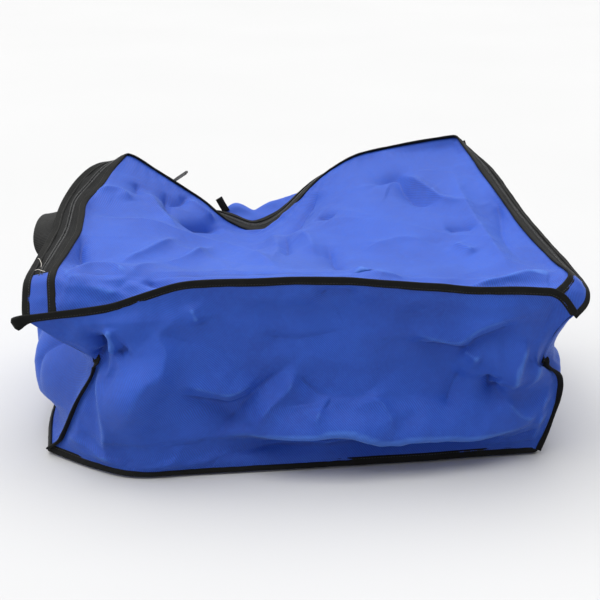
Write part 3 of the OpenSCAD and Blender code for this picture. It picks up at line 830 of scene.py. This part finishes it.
floor = make_mesh(
    "floor", [(-14, -14, 0), (14, -14, 0), (14, 14, 0), (-14, 14, 0)], [(0, 1, 2, 3)]
)
paper = Surface("pale_paper", Roughness=0.9, Specular_IOR_Level=0.1)
tone = paper.noise(paper.place(), 1.4, 2)
paper.use("Base Color", paper.blend(tone, (0.53, 0.53, 0.53, 1), (0.56, 0.56, 0.56, 1)))
paper.use("Normal", paper.bump(paper.noise(paper.place(), 240, 3), 0.2 * MM, 0.1))
floor.data.materials.append(paper.made)


# ---------------------------------------------------------------- cloth

FRONT_CREASES = [
    # the lower overhang, and the hollow below it
    ([(-104, 46), (-58, 51), (0, 50), (42, 52), (84, 45), (124, 47), (184, 44), (228, 46), (262, 48)],
     19, 34, 4),
    ([(-80, 33), (0, 34), (75, 31), (126, 32), (191, 30), (250, 32)], -6, 6, 8),
    ([(-110, 22), (-40, 24), (60, 22), (160, 22), (240, 22)], -12, 13, 14),
    # the left corner: the fold over the hidden seam, its edge, and the pocket beside it
    ([(-228, 121), (-216, 105), (-212, 74), (-216, 14)], 10, 22, 9),
    ([(-216, 167), (-219, 153), (-219, 138), (-232, 126)], -13, 8, 8),
    ([(-210, 172), (-207, 155), (-206, 138)], 7, 6, 5),
    ([(-188, 153), (-203, 140)], -7, 8, 7),
    ([(-266, 35), (-237, 26), (-216, 16), (-195, 11)], 5, 10, 5),
    # the long edge between the lit left and the dark middle
    ([(-127, 194), (-142, 175), (-156, 159), (-150, 142), (-157, 123), (-174, 112), (-193, 79),
      (-209, 56)], 9, 24, 26),
    ([(-123, 198), (-120, 188), (-114, 172)], 6, 10, 8),
    # the wavy valley under a soft fold
    ([(-142, 110), (-115, 104), (-87, 98), (-66, 104), (-50, 118)], 7, 20, 6),
    ([(-140, 98), (-115, 91), (-87, 85), (-68, 90), (-54, 102)], -7, 5, 22),
    # the bright facet in the middle
    ([(-10, 138), (-29, 119), (-48, 103), (-77, 73), (-99, 48)], -5, 12, 10),
    ([(-6, 128), (-20, 104), (-39, 82), (-56, 54)], 10, 22, 16),
    ([(-16, 124), (10, 98), (25, 89), (13, 66)], -6, 8, 14),
    ([(30, 100), (21, 84), (6, 54)], 6, 12, 12),
    ([(66, 100), (80, 78), (96, 50)], 7, 14, 16),
    ([(170, 118), (160, 96), (149, 68)], -6, 16, 12),
    # the right top
    ([(104, 164), (121, 160), (163, 152), (184, 166), (210, 178), (238, 184)], 7, 20, 5),
    ([(100, 153), (121, 148), (165, 140), (182, 154), (210, 166), (238, 174)], -7, 5, 18),
    ([(165, 140), (190, 130)], 6, 8, 12),
    ([(10, 194), (24, 208), (60, 206)], -5, 8, 12),
    ([(-60, 166), (-10, 158), (50, 168)], -5, 10, 26),
    # the right corner
    ([(198, 114), (201, 92), (216, 98)], -12, 9, 9),
    ([(236, 158), (226, 129), (225, 90)], 9, 8, 12),
    ([(262, 172), (258, 144), (247, 115), (238, 90)], 8, 14, 8),
    ([(214, 86), (232, 60), (259, 52)], 6, 8, 8),
    ([(270, 92), (262, 69), (258, 47), (255, 13)], 5, 8, 8),
    ([(190, 19), (255, 20)], 4, 6, 6),
]
LID_CREASES = [
    ([(-262, 18), (-237, 17), (-205, 13), (-153, -3), (-106, -14), (-68, -46), (-20, -150)],
     11, 24, 34),
    ([(-262, -142), (-244, -140), (-229, -128), (-205, -134), (-186, -158)], 7, 14, 12),
    ([(-207, -121), (-180, -76), (-149, -21)], 6, 14, 9),
    ([(-196, -156), (-165, -112), (-131, -76), (-105, -22)], 7, 14, 10),
    ([(-190, -134), (-150, -96), (-128, -60)], -4, 8, 8),
    ([(-207, 122), (-189, 82), (-169, 40), (-150, 0)], 8, 18, 14),
    ([(-177, 136), (-173, 101), (-171, 60)], -8, 7, 7),
    ([(-174, 112), (-158, 122), (-150, 140)], -6, 6, 7),
    ([(-156, 136), (-137, 119), (-112, 104)], 7, 9, 9),
    ([(-160, 46), (-124, 84), (-102, 102)], -9, 7, 12),
    ([(-262, -30), (-251, -83), (-242, -126)], -8, 8, 10),
    ([(-174, -150), (-158, -163), (-138, -170)], -5, 7, 8),
    ([(-264, -158), (-230, -162), (-186, -172)], 4, 7, 7),
    ([(-213, 132), (-209, 92)], -5, 7, 8),
    ([(-262, 74), (-232, 87), (-214, 68)], 6, 10, 12),
    ([(-40, 80), (-34, 30), (-30, -30), (-38, -90)], 6, 16, 16),
    ([(-22, 24), (-6, 80), (20, 118)], -8, 8, 16),
    ([(-24, 36), (-21, -10), (-20, -62)], -6, 7, 9),
    ([(-8, 30), (6, -10), (10, -60)], 5, 10, 12),
    ([(78, 86), (99, 108), (115, 112), (123, 80), (140, 48), (166, 42)], -8, 12, 12),
    ([(118, 122), (147, 78), (170, 40), (200, 30)], 7, 12, 10),
    ([(184, 112), (188, 57), (198, -2), (210, -59), (224, -140)], 7, 16, 20),
    ([(14, 50), (36, 32)], -5, 8, 8),
    ([(25, -30), (31, -91), (46, -130)], -6, 8, 10),
    ([(44, -124), (75, -152), (110, -160)], 5, 8, 8),
    ([(160, -22), (184, -20), (196, -32)], -5, 8, 8),
    ([(166, -56), (190, -86)], 5, 9, 8),
    ([(60, -60), (110, -40), (150, -62)], 4, 16, 20),
    ([(168, -172), (211, -158), (256, -142), (268, -146)], 8, 8, 10),
    ([(212, 50), (231, 30), (226, -41), (234, -92)], -5, 10, 10),
]
BACK_CREASES = [
    ([(-200, 40), (-120, 90), (-60, 150)], 6, 14, 22),
    ([(-60, 150), (-20, 90), (10, 30)], 6, 20, 12),
    ([(-80, 30), (0, 50), (90, 38), (180, 50)], 6, 22, 6),
    ([(60, 190), (90, 130), (160, 100)], -6, 12, 16),
    ([(160, 220), (150, 160), (190, 90)], 5, 14, 14),
    ([(-220, 180), (-180, 120), (-190, 60)], -5, 12, 12),
]
LEFT_CREASES = [
    ([(-130, 50), (-40, 58), (60, 48), (140, 60)], 6, 20, 8),
    ([(-120, 150), (-80, 100), (-90, 60)], -6, 12, 14),
    ([(120, 200), (110, 130), (130, 70)], 5, 12, 14),
]
RIGHT_CREASES = [
    ([(-120, 60), (-40, 48), (60, 56), (140, 46)], 5, 20, 8),
    ([(-110, 150), (-70, 110), (-80, 60)], -6, 10, 14),
    ([(120, 210), (100, 140), (125, 70)], 5, 12, 12),
    ([(-140, 100), (-100, 96), (-60, 120)], -3, 8, 12),
]
BOTTOM_CREASES = [
    ([(-200, -100), (-60, -20), (60, 60), (200, 120)], 0.6, 14, 14),
    ([(-180, 120), (-40, 30), (100, -90)], 0.6, 12, 12),
]
LEG_SHARES = (0.41, 0.717)
SEWN_LOW, SEWN_HIGH, ROOT_SHARE = 0.50, 0.672, 0.68


def clear_of_legs(u, v):
    """1 over most of an end panel, falling to 0 under the sewn webbing, which holds it flat."""
    far_u = np.min([abs(u - leg) for leg in LEG_SHARES], axis=0) / 0.034
    far_v = np.clip(abs(v - (SEWN_LOW + SEWN_HIGH) / 2) / 0.095, 0, None)
    d = np.maximum(far_u[None, :], far_v[:, None])
    t = np.clip((d - 1.0) / 1.4, 0, 1)
    return t * t * (3 - 2 * t)


panels = {}
for name, patch_at, size, plan, out, creases, seed, sim, mask, dents, bodies, nodes, flat in (
    ("front_cloth", front_patch, (0.575, 0.21), (X, Z), 1, FRONT_CREASES, 3,
     {"growth": 0.011, "gravity": 0.5, "cap": 5 * MM}, None, 10.0, "shell", ["front_panel"],
     (0.60, 0.25)),
    ("back_cloth", back_patch, (0.60, 0.26), (X, Z), -1, BACK_CREASES, 5,
     {"growth": 0.014, "gravity": 0.5, "cap": 6 * MM}, None, 9.0, "shell", ["back_panel"],
     (0.60, 0.30)),
    ("left_end_cloth", left_patch, (0.36, 0.26), (Y, Z), -1, LEFT_CREASES, 7,
     {"growth": 0.010, "gravity": 0.4, "cap": 4 * MM}, clear_of_legs, 7.0, "shell",
     ["left_end_panel"], (0.38, 0.28)),
    ("right_end_cloth", right_patch, (0.35, 0.25), (Y, Z), 1, RIGHT_CREASES, 9,
     {"growth": 0.010, "gravity": 0.4, "cap": 4 * MM}, clear_of_legs, 6.0, "shell",
     ["right_end_panel"], (0.38, 0.28)),
    ("bottom_cloth", bottom_patch, (0.58, 0.37), (X, Y), 1, BOTTOM_CREASES, 11, None, None, 0.3,
     "shell", ["bottom_panel"], (0.60, 0.38)),
    ("lid_cloth", lid_patch, (0.55, 0.40), (X, Y), 1, LID_CREASES, 13,
     {"growth": 0.010, "gravity": 0.5, "cap": 4 * MM}, None, 9.0, ("shell", "lid"),
     ["lid_front_margin", "lid_panel"], (0.56, 0.42)),
):
    obj = cloth_panel(name, patch_at, size, plan, out, creases, seed, sim, mask, dents)
    obj.data.materials.append(CLOTH)
    if isinstance(bodies, tuple):
        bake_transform(obj)
    else:
        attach(obj, bodies)
    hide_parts(*nodes)
    panels[name] = obj


# ---------------------------------------------------------------- bindings


def knob(s):
    """The left end of the front binding is doubled back on itself, wider and thicker."""
    t = np.clip(1 - s / (24 * MM), 0, 1)
    t = t * t * (3 - 2 * t)
    tip = np.clip(s / (3 * MM), 0, 1) ** 0.5
    tail = np.clip((s[-1] - s) / (2 * MM), 0.3, 1)
    return np.stack([(1 + 0.75 * t) * (0.55 + 0.45 * tip) * tail, (1 + 1.3 * t) * (0.3 + 0.7 * tip)], 1)


def broader(s):
    """The lid's tape lies flatter, and so looks wider, in the valley of its back edge."""
    steps = lengths(lid_edge)
    middle = steps[np.argmin(abs(lid_edge[:, X] + 0.045) + 10 * (lid_edge[:, Y] < 0.08))]
    t = np.cos(np.pi / 2 * np.clip(abs(s - middle) / (110 * MM), 0, 1)) ** 2
    return np.stack([1 + 0.6 * t, np.ones(len(s))], 1)


def across_near(line):
    """The zip's direction from the lid to the rim, beside each point of a line."""
    best = np.argmin(((line[:, None] - ZIP_LINE[None]) ** 2).sum(-1), axis=1)
    return soften(ZIP_ACROSS[best], 4)


lid_edge = rounded([LID_LEFT, LID_BACK, LID_RIGHT[::-1]], 7 * MM)
rim_edge = rounded([RIM_LEFT, RIM_BACK, RIM_RIGHT[::-1]], 7 * MM)
low_edge = rounded([LOW_FRONT, LOW_RIGHT, LOW_BACK[::-1], LOW_LEFT[::-1]], 7 * MM)
outward = unit(low_edge * (1, 1, 0))



def hidden_above(line, low, high, face):
    """A corner seam whose tape shows below a height and is turned into the bag above it."""
    t = np.clip((line[:, Z] - low) / (high - low), 0, 1)
    t = t * t * (3 - 2 * t)
    start = math.atan2(face[1], face[0])
    turn = start + t * math.pi
    faces = np.stack([np.cos(turn), np.sin(turn), np.zeros(len(line))], -1)
    return faces, (1.6 + 3.6 * t) * MM


front_binding = binding("front_seam_tape", FRONT, (0, -0.15, 1), 1, 1.6 * MM, ends=knob)
lid_binding = binding("lid_edge_tape", lid_edge, -across_near(lid_edge), 2, ends=broader)
rim_binding = binding("rim_tape", rim_edge, across_near(rim_edge), 3)
low_binding = binding(
    "bottom_tape", low_edge, outward * 0.35 + np.array((0, 0, -1)), 4, sway=0.5
)
left_faces, left_outs = hidden_above(UP_FRONT_LEFT, 118 * MM, 132 * MM, (-0.8, -1))
right_faces, right_outs = hidden_above(UP_FRONT_RIGHT, 114 * MM, 128 * MM, (1, -0.8))
corner_bindings = [
    binding("front_left_tape", UP_FRONT_LEFT, left_faces, 5, left_outs),
    binding("front_right_tape", UP_FRONT_RIGHT, right_faces, 6, right_outs),
    binding("back_left_tape", UP_BACK_LEFT, (-1, 1, 0), 7, 1.6 * MM),
    binding("back_right_tape", UP_BACK_RIGHT, (1, 1, 0), 8, 1.6 * MM),
]
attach(front_binding, "shell")
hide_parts("front_seam_binding")
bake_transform(lid_binding)
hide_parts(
    "lid_left_binding", "lid_back_binding", "lid_right_binding",
    "left_tab_binding", "right_tab_binding",
)
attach(rim_binding, "shell")
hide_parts("rim_left_binding", "rim_back_binding", "rim_right_binding")
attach(low_binding, "shell")
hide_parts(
    "bottom_front_binding", "bottom_back_binding", "bottom_left_binding",
    "bottom_right_binding",
)
for obj, node in zip(
    corner_bindings,
    ("front_left_binding", "front_right_binding", "back_left_binding", "back_right_binding"),
):
    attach(obj, "shell")
    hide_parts(node)


# ---------------------------------------------------------------- zip

COIL_R = 1.35 * MM
COIL_PITCH = 1.7 * MM
COIL_REACH = 1.5 * MM


def zip_tape(name, start, end, body, node):
    """Woven tape from the coil to a binding, with a corded ridge beside the coil."""
    line, s = resample(np.hstack([ZIP_LINE + ZIP_ACROSS * start, end, ZIP_OUT]), 2 * MM)
    a, b, out = line[:, :3], line[:, 3:6], unit(line[:, 6:9])
    shares = np.linspace(0, 1, 11)
    height = 0.45 * MM * np.array([0, 0.2, 1, 0.1, 0, 0.6, 0, 0, 0.5, 0, 0])
    wave = np.array([noise.noise(Vector((x * 45, start * 900, 0))) for x in s]) * 1.2 * MM
    g = a[:, None] + (b - a)[:, None] * shares[None, :, None]
    g = g + out[:, None] * (height[None] + wave[:, None] * np.sin(np.pi * shares)[None])[..., None]
    n, m = g.shape[:2]
    ids = np.arange(n * m).reshape(n, m)
    quads = np.stack([ids[:-1, :-1], ids[:-1, 1:], ids[1:, 1:], ids[1:, :-1]], -1)
    wide = np.linalg.norm(b - a, axis=1)
    uv = np.stack(np.broadcast_arrays(s[:, None], wide[:, None] * shares[None]), -1)
    obj = make_mesh(name, g.reshape(-1, 3), quads.reshape(-1, 4).tolist(), uv.reshape(-1, 2))
    solid = obj.modifiers.new("thick", "SOLIDIFY")
    solid.thickness, solid.offset = 0.6 * MM, 0
    apply_modifiers(obj)
    obj.data.polygons.foreach_set("use_smooth", np.ones(len(obj.data.polygons), bool))
    obj.data.materials.append(ZIP_TAPE)
    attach(obj, body)
    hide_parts(node)
    return obj


def zip_coil(name, side, body, node):
    """Half of a nylon coil: a round wire wound along the tape's edge."""
    line, s = resample(np.hstack([ZIP_LINE, ZIP_ACROSS, ZIP_OUT]), COIL_PITCH / 8)
    p, across, out = line[:, :3], unit(line[:, 3:6]), unit(line[:, 6:9])
    turn = s / COIL_PITCH * 2 * np.pi * side
    c, d = np.cos(turn)[:, None], np.sin(turn)[:, None]
    centre = p + across * (side * COIL_REACH) + across * c * COIL_R * 0.85 + out * d * COIL_R * 0.85
    tangent, wide, thick = turned(centre, out + across * 0.01)
    q = np.arange(5) / 5 * 2 * np.pi
    r = 0.46 * MM
    rings = centre[:, None] + r * (
        wide[:, None] * np.cos(q)[None, :, None] + thick[:, None] * np.sin(q)[None, :, None]
    )
    obj = joined(name, [(*loft(rings, s, q * r), 0)], [COIL])
    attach(obj, body)
    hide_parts(node)
    return obj


zip_tape("zip_tape_rim_side", 0.5 * MM, ZIP[:, 3:], "shell", "zip_tape_outer")
zip_tape("zip_tape_lid_side", -0.5 * MM, ZIP[:, :3], "lid", "zip_tape_inner")
zip_coil("coil_rim_side", 1, "shell", "zip_coil_outer")
zip_coil("coil_lid_side", -1, "lid", "zip_coil_inner")

for node, surface in (("slider_body", SLIDER), ("slider_bridge", SLIDER), ("pull_tab", PULL)):
    obj = NODES[node]
    obj.data.materials.clear()
    obj.data.materials.append(surface)
    weld = obj.modifiers.new("weld", "WELD")
    weld.merge_threshold = 0.01 * MM
    bevel = obj.modifiers.new("soft_edges", "BEVEL")
    bevel.width, bevel.segments, bevel.limit_method = 0.22 * MM, 2, "ANGLE"
    bevel.angle_limit = math.radians(32)
    bevel.harden_normals = False


# ---------------------------------------------------------------- tabs at the front corners


def corner_tab(name, inner, outer, node, out, bulge):
    """The small cloth tab that closes the corner in front of the zip."""
    u, v = np.linspace(0, 1, 13), np.linspace(0, 1, 17)
    end = ZIP_START + 3 * MM
    a, b = along(inner, Y, v, high=end), along(outer, Y, v, high=end)
    g = a[:, None] + (b - a)[:, None] * u[None, :, None]
    n = normals(g) * out
    arch = np.sin(np.pi * u)[None, :, None] * (0.4 + 0.6 * np.sin(np.pi * v)[:, None, None])
    ripple = rumple(g, 21 + bulge, 26 * MM, 2.2 * MM)[..., None] * edge_fade(g.shape[:2], 3)
    g = g + n * (arch * bulge * MM + ripple)
    rows, cols = g.shape[:2]
    ids = np.arange(rows * cols).reshape(rows, cols)
    quads = np.stack([ids[:-1, :-1], ids[:-1, 1:], ids[1:, 1:], ids[1:, :-1]], -1)
    uv = np.stack(np.meshgrid(lengths(g[rows // 2]), lengths(g[:, cols // 2])), -1)
    obj = make_mesh(name, g.reshape(-1, 3), quads.reshape(-1, 4).tolist(), uv.reshape(-1, 2))
    sub = obj.modifiers.new("finer", "SUBSURF")
    sub.levels = sub.render_levels = 1
    apply_modifiers(obj)
    mark_wear_and_shade(obj.data)
    solid = obj.modifiers.new("thick", "SOLIDIFY")
    solid.thickness, solid.offset = CLOTH_T, 0
    apply_modifiers(obj)
    obj.data.polygons.foreach_set("use_smooth", np.ones(len(obj.data.polygons), bool))
    obj.data.materials.append(CLOTH)
    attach(obj, "shell")
    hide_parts(node)
    return obj


corner_tab("left_tab_cloth", LID_LEFT, RIM_LEFT, "left_tab", -1, 1)
corner_tab("right_tab_cloth", LID_RIGHT, RIM_RIGHT, "right_tab", 1, 2)


def thread_end(name, points, r=0.3 * MM, surface=None):
    """A loose end of sewing thread."""
    line, s = resample(smooth(points, 8), 0.8 * MM)
    tangent, wide, thick = turned(line, (0.2, 0.9, 0.3))
    q = np.arange(6) / 6 * 2 * np.pi
    size = r * (0.5 + 0.5 * np.clip(np.minimum(s, s[-1] - s) / (1.5 * MM), 0, 1))[:, None, None]
    rings = line[:, None] + size * (
        wide[:, None] * np.cos(q)[None, :, None] + thick[:, None] * np.sin(q)[None, :, None]
    )
    obj = joined(name, [(*loft(rings, s, q * r), 0)], [surface or WHITE_THREAD])
    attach(obj, "shell")
    return obj


thread_end("thread_tab_upper", [
    (-0.2935, -0.1140, 0.2245), (-0.2900, -0.1215, 0.2262), (-0.2868, -0.1290, 0.2235),
    (-0.2862, -0.1345, 0.2210),
])
thread_end("thread_tab_lower", [
    (-0.2930, -0.1360, 0.2180), (-0.2885, -0.1385, 0.2200), (-0.2835, -0.1415, 0.2195),
    (-0.2800, -0.1430, 0.2190),
])
stub = binding(
    "rim_tape_end",
    np.array([(-0.103, 0.166, 0.198), (-0.107, 0.168, 0.205), (-0.113, 0.170, 0.215)]),
    (-0.9, 0.1, -0.3), 14,
)
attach(stub, "shell")


# ---------------------------------------------------------------- handles


def on_end(patch_at, way, u, v, lift):
    """A point lifted off an end panel, with the panel's outward normal and its direction in u."""
    e = 0.02

    def point(a, b):
        return patch_at(np.array([a]), np.array([b]))[0, 0]

    du, dv = point(u + e, v) - point(u - e, v), point(u, v + e) - point(u, v - e)
    n = way * unit(np.cross(du, dv))
    return point(u, v) + n * lift, n, unit(du)


def handle(name, patch_at, way, tilt, seed):
    """Webbing sewn to the end panel at both ends, with a free loop that stands on its edge."""
    loop_h = 62 * MM
    roots = [on_end(patch_at, way, leg, ROOT_SHARE, 0.6 * MM + WEB_T * 1.5 + 2.5 * MM) for leg in LEG_SHARES]
    a, b = roots[0][0], roots[1][0]
    gap = np.linalg.norm(b - a)
    line, mid = unit(b - a), (a + b) / 2
    out = unit(np.cross(line, (0, 0, 1)))
    up = np.cross(out, line)
    c, d = math.cos(math.radians(tilt)), math.sin(math.radians(tilt))
    up, out = up * c + out * d, out * c - up * d
    places, wides, sewn = [], [], []
    for v in np.linspace(SEWN_LOW, SEWN_HIGH - 0.012, 9):
        p, n, du = on_end(patch_at, way, LEG_SHARES[0], v, CLOTH_T / 2 + WEB_T / 2 + 0.25 * MM)
        places.append(p)
        wides.append(-du)
        sewn.append(1)
    for deg in np.linspace(0, 180, 31):
        r = math.radians(deg)
        x, y = -gap / 2 * math.cos(r), loop_h * max(math.sin(r), 0) ** 0.7
        places.append(mid + line * x + up * y)
        e = math.radians(1)
        dx = -gap / 2 * (math.cos(r + e) - math.cos(r - e))
        dy = loop_h * (max(math.sin(r + e), 0) ** 0.7 - max(math.sin(r - e), 0) ** 0.7)
        t = (0, 1) if deg < 2 else (0, -1) if deg > 178 else unit((dx, dy))
        side = -line * t[1] + up * t[0]
        twist = math.pi / 2 * math.sin(math.pi / 2 * min(1, math.sin(r) * 1.15)) ** 2
        wides.append(side * math.cos(twist) + out * math.sin(twist))
        sewn.append(0)
    for v in np.linspace(SEWN_HIGH - 0.012, SEWN_LOW, 9):
        p, n, du = on_end(patch_at, way, LEG_SHARES[1], v, CLOTH_T / 2 + WEB_T / 2 + 0.25 * MM)
        places.append(p)
        wides.append(du)
        sewn.append(1)
    path, s = resample(np.hstack([smooth(places, 5), smooth(wides, 5), smooth(np.array(sewn, float)[:, None], 5)]), 2 * MM)
    tangent, wide, thick = turned(path[:, :3], unit(path[:, 3:6]))
    held = np.clip(path[:, 6:7], 0, 1)
    h, t = WEB_W / 2, WEB_T / 2
    half = np.array([
        (h, 0), (h - 0.25 * MM, 0.8 * t), (h - 1 * MM, t), (h * 0.62, 0.86 * t), (h * 0.3, t),
        (0, 0.9 * t), (-h * 0.3, t), (-h * 0.62, 0.86 * t), (-h + 1 * MM, t), (-h + 0.25 * MM, 0.8 * t), (-h, 0),
    ])
    outline = np.vstack([half, half[-2:0:-1] * (1, -1)])
    curl = wander(s, seed, 0.8 * MM, 40 * MM)[:, None] * (1 - held)
    bow = (1 - (outline[None, :, 0] / h) ** 2) * curl
    rings = (
        path[:, None, :3] + wide[:, None] * outline[None, :, :1]
        + thick[:, None] * (outline[None, :, 1] + bow)[..., None]
    )
    parts = [(*loft(rings, s, lengths(outline)), 0)]
    sides = [1 if (thick[i] * roots[k][1]).sum() > 0 else -1 for k, i in ((0, 2), (1, -3))]
    for k, (first, flip) in enumerate(((0, sides[0]), (s[-1], sides[1]))):
        for pa, pb in (
            ((-9, 3), (9, 3)), ((-9, 33), (9, 33)), ((-9, 3), (-9, 33)), ((9, 3), (9, 33)),
            ((-9, 3), (9, 33)), ((9, 3), (-9, 33)),
        ):
            n = 24
            f = np.linspace(0, 1, n)
            off = (pa[0] + (pb[0] - pa[0]) * f) * MM
            run = (pa[1] + (pb[1] - pa[1]) * f) * MM
            where = first + run if k == 0 else first - run

            def pick(q):
                return np.stack([np.interp(where, s, q[:, i]) for i in range(3)], -1)

            w, o = unit(pick(wide)), unit(pick(thick)) * flip
            row = pick(path[:, :3]) + w * off[:, None] + o * WEB_T * 0.5
            row, rs = resample(row, 1 * MM)
            o = np.stack([np.interp(rs, np.linspace(0, rs[-1], n), o[:, i]) for i in range(3)], -1)
            tt, ww, _ = turned(row, np.cross(o, unit(np.gradient(row, axis=0))))
            verts, faces = stitch_row(row, ww, o, tt, rs, 0, 0.12 * MM, 3.0 * MM, 0.4 * MM)
            parts.append((verts, faces, None, 1))
    obj = joined(name, parts, [WEBBING, THREAD])
    return obj, roots, mid, up, s[-1]


left_handle, roots, mid, up, length = handle(
    "left_handle_webbing", left_patch, -1, -14, 31
)
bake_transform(left_handle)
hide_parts("left_handle_ends", "left_handle_loop")

right_handle, roots, mid, up, length = handle(
    "right_handle_webbing", right_patch, 1, 140, 37
)
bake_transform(right_handle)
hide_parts("right_handle_ends", "right_handle_loop")
